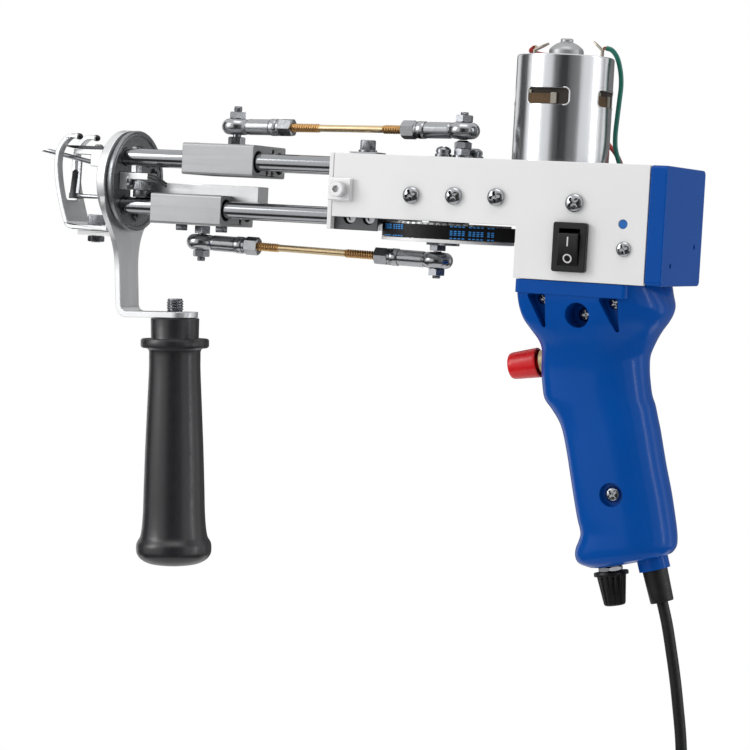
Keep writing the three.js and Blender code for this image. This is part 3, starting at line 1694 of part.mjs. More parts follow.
// The rocker's side view has its face on an arc about the axle, dished in the middle.
function switchRocker() {
  const half = rockerHeight / 2;
  const span = Math.asin(half / rockerRadius);
  const points = [[-half, 0]];
  const steps = 8;
  for (let i = 0; i <= steps; i += 1) {
    const share = (2 * i) / steps - 1;
    const turn = share * span;
    const r = rockerRadius - rockerDish * (1 - share * share);
    points.push([r * Math.sin(turn), r * Math.cos(turn)]);
  }
  points.push([half, 0]);
  const shape = outline(points.map(([along, out]) => [-out, along]));
  return frontPrism(shape, -rockerLength / 2, rockerLength / 2);
}
const rockerAxle = group(switchX, -plateOuterY + rockerSink, switchZ);
rockerAxle.rotation.x = rockerRest;
add('switch_rocker', switchRocker(), blackPlastic(), rockerAxle);

// Speed dial at the bottom of the grip
const dial = group(dialX, 0, dialZ);
dial.rotation.y = -dialTilt;
function dialBody() {
  const inside = gripWall + dialBodyGap;
  return join(
    postZ(dialBushRadius, 0, 0, -dialBushLength, inside + seam),
    postZ(dialBodyRadius, 0, 0, inside, inside + dialBodyHeight),
    hexZ(dialNutAcross, 0, 0, -dialNutHeight - seam * 3, -seam * 3),
  );
}
add('speed_dial_body', dialBody(), plainSteel(), dial);

function speedKnob() {
  const top = -dialNutHeight - seam * 3 - slip;
  const profile = [
    [0, top - knobLength],
    [knobEndRadius * 0.85, top - knobLength],
    [knobEndRadius, top - knobLength + knobGrooveDepth * 2],
    [knobTopRadius, top - knobSkirt],
    [knobSkirtRadius, top - knobSkirt],
    [knobSkirtRadius, top],
    [0, top],
  ];
  const grooves = [];
  for (let i = 0; i < knobGrooves; i += 1) {
    const turn = (2 * Math.PI * i) / knobGrooves;
    const lean = Math.atan((knobTopRadius - knobEndRadius) / (knobLength - knobSkirt));
    const groove0 = postZ(knobGrooveDepth * 2, 0, 0, -knobLength, 0, 6)
      .rotate([0, (lean * 180) / Math.PI, 0])
      .translate([knobTopRadius + knobGrooveDepth, 0, top - knobSkirt - seam]);
    grooves.push(groove0.rotate([0, 0, (turn * 180) / Math.PI]));
  }
  const bore = postZ(dialBushRadius + slip, 0, 0, -dialBushLength - slip, overrun);
  return cut(turned(profile), ...grooves, bore);
}
add('speed_knob', speedKnob(), blackPlastic(), dial);

const board = group(boardX, 0, boardZ);
board.rotation.y = -boardTilt;
add(
  'controller_board',
  join(
    block(
      -boardThickness / 2,
      boardThickness / 2,
      -boardWidth / 2,
      boardWidth / 2,
      -boardLength / 2,
      boardLength / 2,
    ),
    block(0, boardPartsHeight, -boardWidth / 3, boardWidth / 4, -boardLength / 3, 0),
    postZ(boardPartsHeight, 0, 0, boardLength / 8, boardLength / 3).intersect(
      block(0, boardPartsHeight * 2, -boardWidth, boardWidth, 0, boardLength),
    ),
  ),
  boardGreen(),
  board,
);

// Cord: sleeve, free stretch, hank and socket

const sleeveGroup = group(sleeveX, 0, sleeveZ);
sleeveGroup.rotation.y = -sleeveTilt;
function cordSleeve() {
  const profile = [
    [cordDiameter / 2 + seam, sleeveInside],
    [sleeveTopRadius, sleeveInside],
    [sleeveTopRadius, 0],
    [sleeveTipRadius, -sleeveLength],
    [cordDiameter / 2 + seam, -sleeveLength],
    [cordDiameter / 2 + seam, sleeveInside],
  ];
  return turned(profile, smallSides);
}
add('cord_sleeve', cordSleeve(), blackRubber(), sleeveGroup);

function tube(points, radius, sides, steps, closedEnds = true) {
  const path = new THREE.CatmullRomCurve3(points, false, 'centripetal');
  const section = circle(radius, sides);
  const geometry = new THREE.ExtrudeGeometry(section, { steps, extrudePath: path, bevelEnabled: false });
  return closedEnds ? solidOf(geometry) : geometry;
}

const vectors = (route) => route.map(([x, y, z]) => new THREE.Vector3(x, y, z));

function routeLength(points) {
  return points.slice(1).reduce((sum, p, i) => sum + p.distanceTo(points[i]), 0);
}

const stretchPoints = vectors(cordRoute);
const stretchLength = routeLength(stretchPoints);
add(
  'cord_stretch',
  tube(stretchPoints, cordDiameter / 2, cordSides, Math.round(stretchLength / (cordDiameter * cordStep))),
  blackRubber(),
);

// The hank: loops about a racetrack that is drawn in at the waist, spiralling in and out in four layers.
// A turn starts at the top of the fold, runs down at +X, folds at the bottom and runs up at -X.
function hankSpread(turn) {
  const marks = [hankReverses[0] - (hankReverses[1] - hankReverses[0]), ...hankReverses];
  marks.push(hankReverses[2] + (hankReverses[2] - hankReverses[1]));
  for (let i = 0; i < marks.length - 1; i += 1) {
    const [from, to] = [marks[i], marks[i + 1]];
    if (turn <= to) {
      const share = (turn - from) / (to - from);
      const inward = i % 2 === 0;
      return (inward ? 1 - share : share) * (to - from) * hankStep;
    }
  }
  return 0;
}

function hankLayerAt(turn) {
  const half = 0.19; // of a turn, the run in which a layer is climbed
  return hankReverses.reduce((sum, mark) => {
    const share = Math.min(1, Math.max(0, (turn - mark + half) / (2 * half)));
    return sum + share * share * (3 - 2 * share);
  }, 0);
}

function hankPoint(turn) {
  const spread = hankSpread(turn);
  const radius = hankFold + spread;
  const run = 2 * hankHalfRun;
  const fold = Math.PI * (hankFold + hankStep);
  const loop = 2 * (run + fold);
  const phase = ((turn % 1) + 1) % 1;
  let along = phase * loop;
  const y = hankLayerAt(turn) * hankLayer;
  const drawnIn = (z) => hankWaist * (1 - (z / hankHalfRun) ** 2) ** 2;
  if (along < fold / 2 || along >= loop - fold / 2) {
    const angle = ((along < fold / 2 ? along : along - loop) / fold) * Math.PI;
    return [radius * Math.sin(angle), y, hankHalfRun + radius * Math.cos(angle)];
  }
  along -= fold / 2;
  if (along < run) {
    const z = hankHalfRun - along;
    return [radius - drawnIn(z), y, z];
  }
  along -= run;
  if (along < fold) {
    const angle = (along / fold) * Math.PI;
    return [radius * Math.cos(angle), y, -hankHalfRun - radius * Math.sin(angle)];
  }
  along -= fold;
  const z = -hankHalfRun + along;
  return [-radius + drawnIn(z), y, z];
}

const hankPoints = [];
const [hangX, hangY, hangZ] = cordRoute[cordRoute.length - 1];
const foldLength = (hankFold + hankStep) * Math.PI;
const loopLength = 2 * (2 * hankHalfRun + foldLength);
const firstTurn = foldLength / 2 / loopLength;
const wound = hankTurns + (2 * hankHalfRun) / loopLength;
const hankSteps = Math.round(wound * hankStepsPerTurn);
for (let i = 0; i <= hankSteps; i += 1) {
  hankPoints.push(new THREE.Vector3(...hankPoint(firstTurn + (wound * i) / hankSteps)));
}
hankPoints.unshift(hankPoints[0].clone().add(new THREE.Vector3(0, 0, cordDiameter)));
const hankEnd = hankPoints[hankPoints.length - 1].clone();
const tailSteps = 5;
for (let i = 1; i <= tailSteps; i += 1) {
  const share = i / tailSteps;
  const drift = hankTailDrift * share * share * (3 - 2 * share);
  hankPoints.push(hankEnd.clone().add(new THREE.Vector3(0, drift, -hankTail * share)));
}
hankPoints.push(hankPoints[hankPoints.length - 1].clone().sub(new THREE.Vector3(0, 0, cordDiameter)));
const hankShift = new THREE.Vector3(hangX, hangY, hangZ - seam).sub(hankPoints[0]);
hankPoints.forEach((p) => p.add(hankShift));

// The least gap between two stretches of the hank that aren't neighbours along it.
function leastGap(points, radius) {
  const curve = new THREE.CatmullRomCurve3(points, false, 'centripetal');
  const dense = curve.getSpacedPoints(900);
  const step = curve.getLength() / 900;
  const apart = Math.ceil((6 * radius) / step);
  let least = Infinity;
  for (let i = 0; i < dense.length; i += 1) {
    for (let j = i + apart; j < dense.length; j += 1) {
      least = Math.min(least, dense[i].distanceTo(dense[j]));
    }
  }
  return least - 2 * radius;
}
const hankGap = leastGap(hankPoints, cordDiameter / 2);
console.log('hank: length', routeLength(hankPoints).toFixed(1), 'least gap', hankGap.toFixed(3));
console.log('cord length in all', (routeLength(hankPoints) + stretchLength).toFixed(1));
add('cord_hank', tube(hankPoints, cordDiameter / 2, hankSides, hankPoints.length - 1), blackRubber());

function dcSocket() {
  const profile = [
    [0, 0],
    [socketNeckRadius, 0],
    [socketNeckRadius * 1.15, -socketNeckLength],
    [socketRadius, -socketNeckLength - socketRadius / 2],
    [socketRadius, -socketLength],
    [socketBore, -socketLength],
    [socketBore, -socketLength + socketBoreDepth],
    [socketPinRadius, -socketLength + socketBoreDepth],
    [socketPinRadius, -socketLength + seam * 4],
    [0, -socketLength + seam * 4],
  ];
  return turned(profile, smallSides);
}
const tail = hankPoints[hankPoints.length - 1];
add('dc_socket', dcSocket(), blackPlastic(), group(tail.x, tail.y, tail.z - seam));

// Motor wires

add('wire_green', tube(vectors(greenWire), wireRadius, wireSides, wireSteps), greenWireCover());
add('wire_red', tube(vectors(redWire), wireRadius, wireSides, wireSteps), redWireCover());

export default origin;
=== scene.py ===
from math import acos, asin, atan2, copysign, cos, degrees, hypot, pi as PI, radians, sin, sqrt, tan

import bmesh
import bpy
from mathutils import Matrix, Vector
from mathutils.geometry import tessellate_polygon


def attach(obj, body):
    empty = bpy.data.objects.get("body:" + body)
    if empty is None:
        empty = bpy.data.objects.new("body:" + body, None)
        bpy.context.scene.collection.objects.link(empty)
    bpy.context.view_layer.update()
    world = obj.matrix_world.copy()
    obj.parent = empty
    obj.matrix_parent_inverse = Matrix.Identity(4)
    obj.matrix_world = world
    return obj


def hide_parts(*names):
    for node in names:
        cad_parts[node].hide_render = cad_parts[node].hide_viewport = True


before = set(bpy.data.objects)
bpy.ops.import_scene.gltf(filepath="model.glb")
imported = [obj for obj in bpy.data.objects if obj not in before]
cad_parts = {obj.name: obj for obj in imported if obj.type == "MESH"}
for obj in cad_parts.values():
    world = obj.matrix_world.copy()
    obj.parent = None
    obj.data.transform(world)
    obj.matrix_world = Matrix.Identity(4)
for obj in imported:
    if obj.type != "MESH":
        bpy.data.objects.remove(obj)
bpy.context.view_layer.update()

scene = bpy.context.scene
MM = 0.001
# The sizes below are millimetres in the machine's own frame; this takes them to the part's frame, in metres.
TO_PART = Matrix.Translation((-0.020, 0, 0.062)) @ Matrix.Scale(MM, 4)

# The camera, placed as the photograph was taken
CAMERA_AT = Vector((0.3096, -0.9229, 0.0839))
AZIMUTH, ELEVATION, ROLL = (radians(v) for v in (24.61, 3.98, 3.01))
FOCAL_PIXELS, FRAME_PIXELS, SENSOR = 2236.7, 750, 36


def camera_axes():
    a, e = AZIMUTH, ELEVATION
    back = Vector((sin(a) * cos(e), -cos(a) * cos(e), sin(e)))
    right = Vector((cos(a), sin(a), 0))
    up = back.cross(right)
    return right * cos(ROLL) + up * sin(ROLL), up * cos(ROLL) - right * sin(ROLL), back


camera = bpy.data.objects.new("camera", bpy.data.cameras.new("camera"))
scene.collection.objects.link(camera)
camera.data.sensor_width, camera.data.lens = SENSOR, SENSOR * FOCAL_PIXELS / FRAME_PIXELS
camera.data.clip_start, camera.data.clip_end = 0.02, 60
camera.matrix_world = Matrix.Translation(CAMERA_AT) @ Matrix(camera_axes()).transposed().to_4x4()
scene.camera = camera
scene.view_settings.view_transform = "Standard"


# Materials
def srgb(code):
    """A colour written as 0xRRGGBB, as the linear values that shaders take."""
    parts = [((code >> bits) & 255) / 255 for bits in (16, 8, 0)]
    return [c / 12.92 if c <= 0.04045 else ((c + 0.055) / 1.055) ** 2.4 for c in parts] + [1]


class Nodes:
    """The node tree of a material or the world, with what builds it."""

    def __init__(self, owner):
        owner.use_nodes = True
        self.nodes, self.links = owner.node_tree.nodes, owner.node_tree.links

    def feed(self, node, inputs):
        """Each input is a plain value or another node's output."""
        for key, value in inputs.items():
            if isinstance(value, bpy.types.NodeSocket):
                self.links.new(value, node.inputs[key])
            else:
                node.inputs[key].default_value = value

    def node(self, kind, inputs, output=0, **settings):
        """Makes a node and returns one of its outputs."""
        made = self.nodes.new("ShaderNode" + kind)
        for key, value in settings.items():
            setattr(made, key, value)
        self.feed(made, inputs)
        return made.outputs[output]

    def maths(self, operation, *values):
        return self.node("Math", dict(enumerate(values)), operation=operation)

    def ranged(self, value, low, high, start=0.3, end=0.7):
        limits = {"From Min": start, "From Max": end, "To Min": low, "To Max": high}
        return self.node("MapRange", {"Value": value, **limits})

    def seen_share(self):
        """1 for rays from the camera, mirrors and glass, 0 for the light that surfaces gather."""
        total = self.node("LightPath", {}, "Is Camera Ray")
        rays = total.node
        for name in ("Is Glossy Ray", "Is Transmission Ray"):
            total = self.maths("MAXIMUM", total, rays.outputs[name])
        return total

    def mixed(self, share, first, second, end):
        """A mix of two shaders, joined to the tree's end."""
        mix = self.node("MixShader", {0: share, 1: first, 2: second})
        self.feed(self.nodes[end], {"Surface": mix})


WHITE = (1, 1, 1, 1)
RING_CENTRE = TO_PART @ Vector((0, 0, 33.9))
LENGTHWISE, UPRIGHT = (0.02, 1, 1), (1, 1, 0.02)
WORN_FROM, WORN_TO = 0.53, 0.6  # how pointed an edge is where its wear begins and is full


def look(name, slot, colour, rough, metal, blotches, uneven, grain=None, spec=0.5, aniso=0.0, worn=None, turned=None):
    """
    A material. The slot argument is not used.
    blotches: slow changes of the colour's depth, and grains per metre. uneven: least and greatest roughness, and
    grains per metre. grain: fine relief in millimetres, and grains per metre. Each can end with a stretch, and is
    longer along an axis where that is small. worn: the colour of rubbed edges, and how much it shows.
    turned: rings that a lathe leaves about X, as centre, depth, pitch and change of tint.
    """
    made = bpy.data.materials.new(name)
    tree = Nodes(made)
    shader = tree.nodes["Principled BSDF"]
    place = tree.node("TexCoord", {}, "Object")

    def noise(scale, stretch=(1, 1, 1), detail=3.0):
        at = tree.node("Mapping", {"Vector": place, "Scale": [scale * s for s in stretch]})
        return tree.node("TexNoise", {"Vector": at, "Scale": 1, "Detail": detail})

    amount, *spread = blotches
    tint = tree.ranged(noise(*spread), 1 - amount, 1 + amount)
    height = None
    if grain:
        depth, *spread = grain
        height = tree.maths("MULTIPLY", noise(*spread, detail=2.0), depth)
    if turned:
        centre, depth, pitch, amount = turned
        at = tree.node("Mapping", {"Vector": place, "Location": [-c for c in centre]})
        split = tree.node("SeparateXYZ", {"Vector": at}).node
        squares = [tree.maths("MULTIPLY", split.outputs[n], split.outputs[n]) for n in "YZ"]
        radius = tree.maths("SQRT", tree.maths("ADD", *squares))
        rings = {"Scale": 1, "Detail": 2, "W": tree.maths("MULTIPLY", radius, 1000 / pitch)}
        rings = tree.node("TexNoise", rings, noise_dimensions="1D")
        tint = tree.maths("MULTIPLY", tint, tree.ranged(rings, 1 - amount, 1 + amount))
        height = tree.maths("MULTIPLY", rings, depth)
    base = tree.node("VectorMath", {0: srgb(colour)[:3], "Scale": tint}, operation="SCALE")
    if worn:
        edge = tree.ranged(tree.node("NewGeometry", {}, "Pointiness"), 0, worn[1], WORN_FROM, WORN_TO)
        patchy = tree.maths("MULTIPLY", edge, tree.ranged(noise(500), 0.2, 1))
        base = tree.node("Mix", {0: patchy, 6: base, 7: srgb(worn[0])}, 2, data_type="RGBA")
    tree.feed(shader, {"Base Color": srgb(colour), "Roughness": rough, "Metallic": metal})
    tree.feed(shader, {"Specular IOR Level": spec, "Anisotropic": aniso, "Base Color": base})
    low, high, *spread = uneven
    tree.feed(shader, {"Roughness": tree.ranged(noise(*spread), low, high)})
    if height is not None:
        tree.feed(shader, {"Normal": tree.node("Bump", {"Strength": 1, "Distance": MM, "Height": height})})
    return made


white_coat = look("white_coat", "white_aluminium", 0xEBEBEB, 0.4, 0.1, (0.015, 30), (0.34, 0.46, 90), (0.012, 1500),
                  spec=0.35)
white_metal = look("white_metal", "white_aluminium", 0xCFD0D1, 0.36, 0.8, (0.03, 80), (0.28, 0.44, 900, LENGTHWISE),
                   (0.01, 2500, LENGTHWISE))
arm_metal = look("arm_metal", "white_aluminium", 0xDCDDDE, 0.36, 0.85, (0.03, 60), (0.3, 0.42, 600, UPRIGHT),
                 (0.01, 2200, (1, 1, 0.05)))
milled = look("milled", "satin_aluminium", 0xA4A5A6, 0.46, 0.8, (0.04, 60), (0.36, 0.5, 700, LENGTHWISE),
              (0.012, 2200, (0.05, 1, 1)))
gunmetal = look("gunmetal", "dark_aluminium", 0x86888B, 0.32, 0.9, (0.05, 70), (0.24, 0.4, 500),
                turned=(RING_CENTRE, 0.05, 0.35, 0.1))
block_metal = look("block_metal", "dark_aluminium", 0x58595B, 0.42, 0.85, (0.05, 70), (0.34, 0.5, 600, LENGTHWISE),
                   (0.012, 2000, LENGTHWISE))
polished = look("polished", "polished_steel", 0x9C9EA1, 0.13, 1.0, (0.02, 90), (0.1, 0.17, 400, LENGTHWISE))
can_metal = look("can_metal", "polished_steel", 0xCFD1D4, 0.2, 1.0, (0.02, 50), (0.17, 0.24, 900, (1, 1, 0.03)),
                 (0.004, 3000, (1, 1, 0.03)), aniso=0.3)
bright_zinc = look("bright_zinc", "plain_steel", 0xE2E2E3, 0.45, 0.6, (0.02, 200), (0.42, 0.48, 300))
zinc = look("zinc", "polished_steel", 0xA6A8AB, 0.2, 1.0, (0.03, 300), (0.16, 0.26, 500), (0.003, 2600))
steel = look("steel", "plain_steel", 0x84868A, 0.28, 1.0, (0.04, 300), (0.22, 0.36, 600), (0.006, 2200),
             worn=(0xBDBFC2, 0.4))
dark_steel = look("dark_steel", "dark_steel", 0x3E3F42, 0.34, 0.95, (0.08, 300), (0.26, 0.44, 600), (0.012, 2200),
                  worn=(0x8A8B8D, 0.4))
brass = look("brass", "brass", 0xCDB791, 0.22, 1.0, (0.05, 250, LENGTHWISE), (0.2, 0.34, 600, LENGTHWISE),
             (0.005, 2600, LENGTHWISE))
thread_brass = look("thread_brass", "brass", 0xC39A66, 0.26, 1.0, (0.08, 400), (0.24, 0.38, 700))
blue = look("blue_plastic", "blue_plastic", 0x004A9E, 0.17, 0, (0.03, 40), (0.17, 0.25, 200), (0.005, 700), spec=0.14)
black = look("black_plastic", "black_plastic", 0x0E0E10, 0.36, 0, (0.05, 200), (0.32, 0.44, 500), (0.015, 2400),
             spec=0.4)
satin_black = look("satin_black", "black_rubber", 0x202023, 0.34, 0, (0.06, 120), (0.28, 0.38, 350), (0.01, 1400),
                   spec=0.6, worn=(0x242427, 0.5))
rubber = look("rubber", "black_rubber", 0x0E0E10, 0.48, 0, (0.08, 150), (0.42, 0.58, 500), (0.02, 1800), spec=0.4)
belt_rubber = look("belt_rubber", "black_rubber", 0x09090B, 0.5, 0, (0.1, 150), (0.42, 0.58, 500),
                   (0.02, 1500, (1, 1, 0.3)), spec=0.3)
red = look("red_plastic", "red_plastic", 0xD40F18, 0.24, 0, (0.04, 150), (0.2, 0.3, 300), (0.006, 1200), spec=0.4)
cream = look("cream", "brass", 0xC9B58A, 0.34, 0.3, (0.06, 250), (0.28, 0.42, 500))
white_mark = look("white_mark", "white_aluminium", 0xD2D2D2, 0.45, 0, (0.03, 300), (0.4, 0.5, 600))
blue_mark = look("blue_mark", "blue_plastic", 0x2A8AD8, 0.5, 0, (0.15, 900), (0.45, 0.6, 900))
peg_blue = look("peg_blue", "blue_plastic", 0x0C62B2, 0.4, 0, (0.05, 300), (0.35, 0.45, 500))
green_cover = look("green_cover", "green_wire", 0x006656, 0.36, 0, (0.06, 200), (0.3, 0.44, 500))
red_cover = look("red_cover", "red_wire", 0xA81E1C, 0.38, 0, (0.06, 200), (0.3, 0.44, 500))
solder = look("solder", "plain_steel", 0xB5ADA0, 0.4, 0.9, (0.1, 600), (0.3, 0.55, 900), (0.04, 1200))
copper = look("copper", "brass", 0x8C5230, 0.35, 0.9, (0.15, 800), (0.25, 0.45, 900))
# Painted shade: a dark brown that stands for the shaded inside of the motor.
painted_shade_inside = look("painted_shade_inside", "dark_steel", 0x2A231C, 0.6, 0.2, (0.3, 500), (0.5, 0.7, 500))
brown_inside = look("brown_inside", "brass", 0x5A4328, 0.5, 0.3, (0.2, 700), (0.4, 0.6, 700))
# Grey of a brush holder, and of a small painted highlight inside the motor's windows.
brush_grey_and_highlight = look("brush_grey_and_highlight", "plain_steel", 0x9A958A, 0.5, 0.4, (0.1, 700), (0.4, 0.6, 700))
board_green = look("board_green", "board_green", 0x1E5B36, 0.5, 0, (0.1, 500), (0.4, 0.6, 500))
tie_coat = look("tie_coat", "black_rubber", 0x1C1C1E, 0.45, 0, (0.06, 300), (0.4, 0.55, 500))


# Shapes, as meshes in millimetres
def bare_mesh(bm, name="shape"):
    made = bpy.data.meshes.new(name)
    bm.to_mesh(made)
    bm.free()
    return made


def mesh_of(bm, weld=1e-4):
    if weld:
        bmesh.ops.remove_doubles(bm, verts=bm.verts, dist=weld)
    bmesh.ops.recalc_face_normals(bm, faces=bm.faces)
    return bare_mesh(bm)


def turn(axis, angle):
    return Matrix.Rotation(radians(angle), 4, axis)


def shift(x=0.0, y=0.0, z=0.0):
    return Matrix.Translation((x, y, z))


ALONG_X = turn("Y", 90)  # local Z becomes +X
OUT_NEAR = turn("X", 90)  # local Z becomes -Y
OUT_FAR = turn("X", -90)  # local Z becomes +Y
DOWN = turn("X", 180)
MIRROR = Matrix.Scale(-1, 4, (0, 1, 0))
SIDES = (("near", -1, OUT_NEAR), ("far", 1, OUT_FAR))


def moved(mesh, matrix):
    made = mesh.copy()
    made.transform(matrix)
    if matrix.determinant() < 0:
        made.flip_normals()
    return made


def together(*meshes):
    """Several meshes as one, each keeping its own surface."""
    bm = bmesh.new()
    for mesh in meshes:
        bm.from_mesh(mesh)
    return bare_mesh(bm)


def polar(r, a, cx=0.0, cy=0.0):
    return (cx + r * cos(a), cy + r * sin(a))


def bridge(bm, rows, ends=False):
    """Quads between each closed row of corners and the next, and, with ends, a face on both ends."""
    for a, b in zip(rows, rows[1:]):
        for i in range(len(a)):
            j = (i + 1) % len(a)
            bm.faces.new([a[i], a[j], b[j], b[i]])
    if ends:
        bm.faces.new(rows[0])
        bm.faces.new(rows[-1])


def lathe(profile, seg=64, closed=False, flutes=0, flute_depth=0.0, fluted=()):
    """A profile of (radius, height) turned about Z. fluted names the profile points that carry grooves."""
    bm = bmesh.new()
    rings = []
    for k, (r, h) in enumerate(profile):
        row = []
        for i in range(seg if r else 1):
            a = 2 * PI * i / seg
            groove = flute_depth * (0.5 - 0.5 * cos(flutes * a)) ** 2 if k in fluted else 0
            row.append(bm.verts.new((*polar(r - groove, a), h)))
        rings.append(row)
    if closed:
        rings.append(rings[0])
    for a, b in zip(rings, rings[1:]):
        for i in range(seg):
            j = (i + 1) % seg
            corners = [a[0]] if len(a) == 1 else [a[i], a[j]]
            corners += [b[0]] if len(b) == 1 else [b[j], b[i]]
            if len(corners) > 2:
                bm.faces.new(corners)
    return mesh_of(bm)


def arc(cx, cy, r, start, end, steps):
    return [polar(r, start + (end - start) * i / steps, cx, cy) for i in range(steps + 1)]


def ring(r, cx=0.0, cy=0.0, n=48):
    return [polar(r, 2 * PI * i / n, cx, cy) for i in range(n)]


def rect(width, height, r, cx=0.0, cy=0.0, n=6):
    """A rectangle with round corners."""
    points = []
    for sx, sy, start in ((1, -1, -PI / 2), (1, 1, 0), (-1, 1, PI / 2), (-1, -1, PI)):
        points += arc(cx + sx * (width / 2 - r), cy + sy * (height / 2 - r), r, start, start + PI / 2, n)
    return points


def filleted(points, radii, n=6):
    """An outline with its corners rounded; radii is one number or one for each corner."""
    out = []
    for i, p in enumerate(points):
        r = radii if isinstance(radii, (int, float)) else radii[i]
        if r <= 0:
            out.append(tuple(p))
            continue
        a, b, c = (Vector(points[i - 1]), Vector(p), Vector(points[(i + 1) % len(points)]))
        u, v = (a - b).normalized(), (c - b).normalized()
        half = u.angle(v) / 2
        reach = r / tan(half)
        centre = b + (u + v).normalized() * (r / sin(half))
        s, e = b + u * reach - centre, b + v * reach - centre
        t0, t1 = atan2(s.y, s.x), atan2(e.y, e.x)
        while t1 - t0 > PI:
            t1 -= 2 * PI
        while t1 - t0 < -PI:
            t1 += 2 * PI
        out += arc(centre.x, centre.y, r, t0, t1, n)
    return out


PLACES = {
    "z": lambda a, b, c: (a, b, c),
    "y": lambda a, b, c: (a, c, b),
    "x": lambda a, b, c: (c, a, b),
}


def loops_of(outline):
    return outline if isinstance(outline[0][0], (tuple, list)) else [outline]


def stacked(levels, axis):
    """A solid through copies of an outline with holes; a level is its loops and its place along the axis."""
    bm = bmesh.new()
    rows = [[[bm.verts.new(PLACES[axis](a, b, at)) for a, b in loop] for loop in loops] for loops, at in levels]
    ends = [[v for loop in row for v in loop] for row in (rows[0], rows[-1])]
    for tri in tessellate_polygon([[Vector((a, b, 0)) for a, b in loop] for loop in levels[0][0]]):
        for end in ends:
            try:
                bm.faces.new([end[i] for i in tri])
            except ValueError:  # a triangle that is there already
                pass
    for lower, upper in zip(rows, rows[1:]):
        for pair in zip(lower, upper):
            bridge(bm, pair)
    bmesh.ops.dissolve_limit(bm, angle_limit=0.002, verts=bm.verts, edges=bm.edges)
    return mesh_of(bm)


def prism(outline, low, high, axis="z"):
    """An outline with holes, drawn in XY, XZ (axis y) or YZ (axis x), as thick as from low to high along the axis."""
    loops = loops_of(outline)
    return stacked([(loops, low), (loops, high)], axis)


def offset_loop(loop, reach):
    """An outline moved to its left by reach, its corners mitred."""
    out = []
    for i in range(len(loop)):
        p, q, r = (Vector(loop[k % len(loop)]) for k in (i - 1, i, i + 1))
        u, v = (q - p).normalized(), (r - q).normalized()
        n, m = Vector((-u.y, u.x)), Vector((-v.y, v.x))
        out.append(tuple(q + (n + m) * (reach / max(1 + n.dot(m), 0.3))))
    return out


def plate(outline, low, high, axis="z", edge=0.28, steps=3):
    """A prism whose edges are rounded to the radius edge."""
    ordered = []
    for k, loop in enumerate(loops_of(outline)):
        area = sum(a[0] * b[1] - b[0] * a[1] for a, b in zip(loop, [*loop[1:], loop[0]]))
        ordered.append(list(loop) if (area > 0) == (k == 0) else list(reversed(loop)))
    turns = [PI / 2 * i / steps for i in range(steps + 1)]
    levels = [(edge * (1 - sin(a)), low + edge * (1 - cos(a))) for a in turns]
    levels += [(inset, high + low - at) for inset, at in reversed(levels)]
    return stacked([([offset_loop(loop, inset) for loop in ordered], at) for inset, at in levels], axis)


def box(x0, x1, y0, y1, z0, z1):
    return prism([(x0, y0), (x1, y0), (x1, y1), (x0, y1)], z0, z1)


def rod(axis, r, a, b, low, high, n=40):
    """A round rod along an axis; a and b are its place across, in the order X, Y, Z."""
    return prism(ring(r, a, b, n), low, high, axis)


def boolean(base, tools, operation="DIFFERENCE"):
    objects = [bpy.data.objects.new("work", mesh) for mesh in (base, *tools)]
    for o in objects:
        scene.collection.objects.link(o)
    work, *helpers = objects
    for helper in helpers:
        modifier = work.modifiers.new("cut", "BOOLEAN")
        modifier.operation, modifier.solver, modifier.object = operation, "EXACT", helper
    bpy.context.view_layer.update()
    graph = bpy.context.evaluated_depsgraph_get()
    made = bpy.data.meshes.new_from_object(work.evaluated_get(graph), depsgraph=graph)
    for o in objects:
        bpy.data.objects.remove(o)
    made.materials.clear()
    return made


def cut(base, *tools):
    return boolean(base, tools)


def join(base, *others):
    return boolean(base, others, "UNION")


def both(base, *others):
    return boolean(base, others, "INTERSECT")


def catmull(points, steps):
    """A smooth curve through the points (centripetal Catmull-Rom), with steps pieces between two of them."""
    pts = [Vector(p) for p in points]
    pts = [pts[0] * 2 - pts[1], *pts, pts[-1] * 2 - pts[-2]]
    out = []
    for i in range(1, len(pts) - 2):
        p, t = pts[i - 1 : i + 3], [0.0]
        for a, b in zip(p, p[1:]):
            t.append(t[-1] + max((b - a).length, 1e-6) ** 0.5)
        for k in range(steps):
            at = t[1] + (t[2] - t[1]) * k / steps

            def mix(a, b, start, end):
                return a * ((end - at) / (end - start)) + b * ((at - start) / (end - start))

            first = [mix(p[j], p[j + 1], t[j], t[j + 1]) for j in range(3)]
            second = [mix(first[j], first[j + 1], t[j], t[j + 2]) for j in range(2)]
            out.append(mix(*second, t[1], t[2]))
    out.append(pts[-2])
    return out


def tube(points, r, sides=16, closed=False):
    """A round tube along points; r is one radius or one for each point."""
    pts = [Vector(p) for p in points]
    count = len(pts)
    bm = bmesh.new()
    rings = []
    normal = None
    for i, p in enumerate(pts):
        if closed:
            ahead = (pts[(i + 1) % count] - pts[i - 1]).normalized()
        else:
            ahead = (pts[min(i + 1, count - 1)] - pts[max(i - 1, 0)]).normalized()
        if normal is None:
            normal = ahead.orthogonal().normalized()
        normal = (normal - ahead * normal.dot(ahead)).normalized()
        side = ahead.cross(normal)
        s = r if isinstance(r, (int, float)) else r[i]
        rings.append([bm.verts.new(p + normal * x + side * y) for x, y in ring(s, n=sides)])
    bridge(bm, rings, not closed)
    if closed:
        best = min(range(sides), key=lambda k: (rings[-1][0].co - rings[0][k].co).length)
        bridge(bm, [rings[-1], rings[0][best:] + rings[0][:best]])
    return mesh_of(bm, 0)


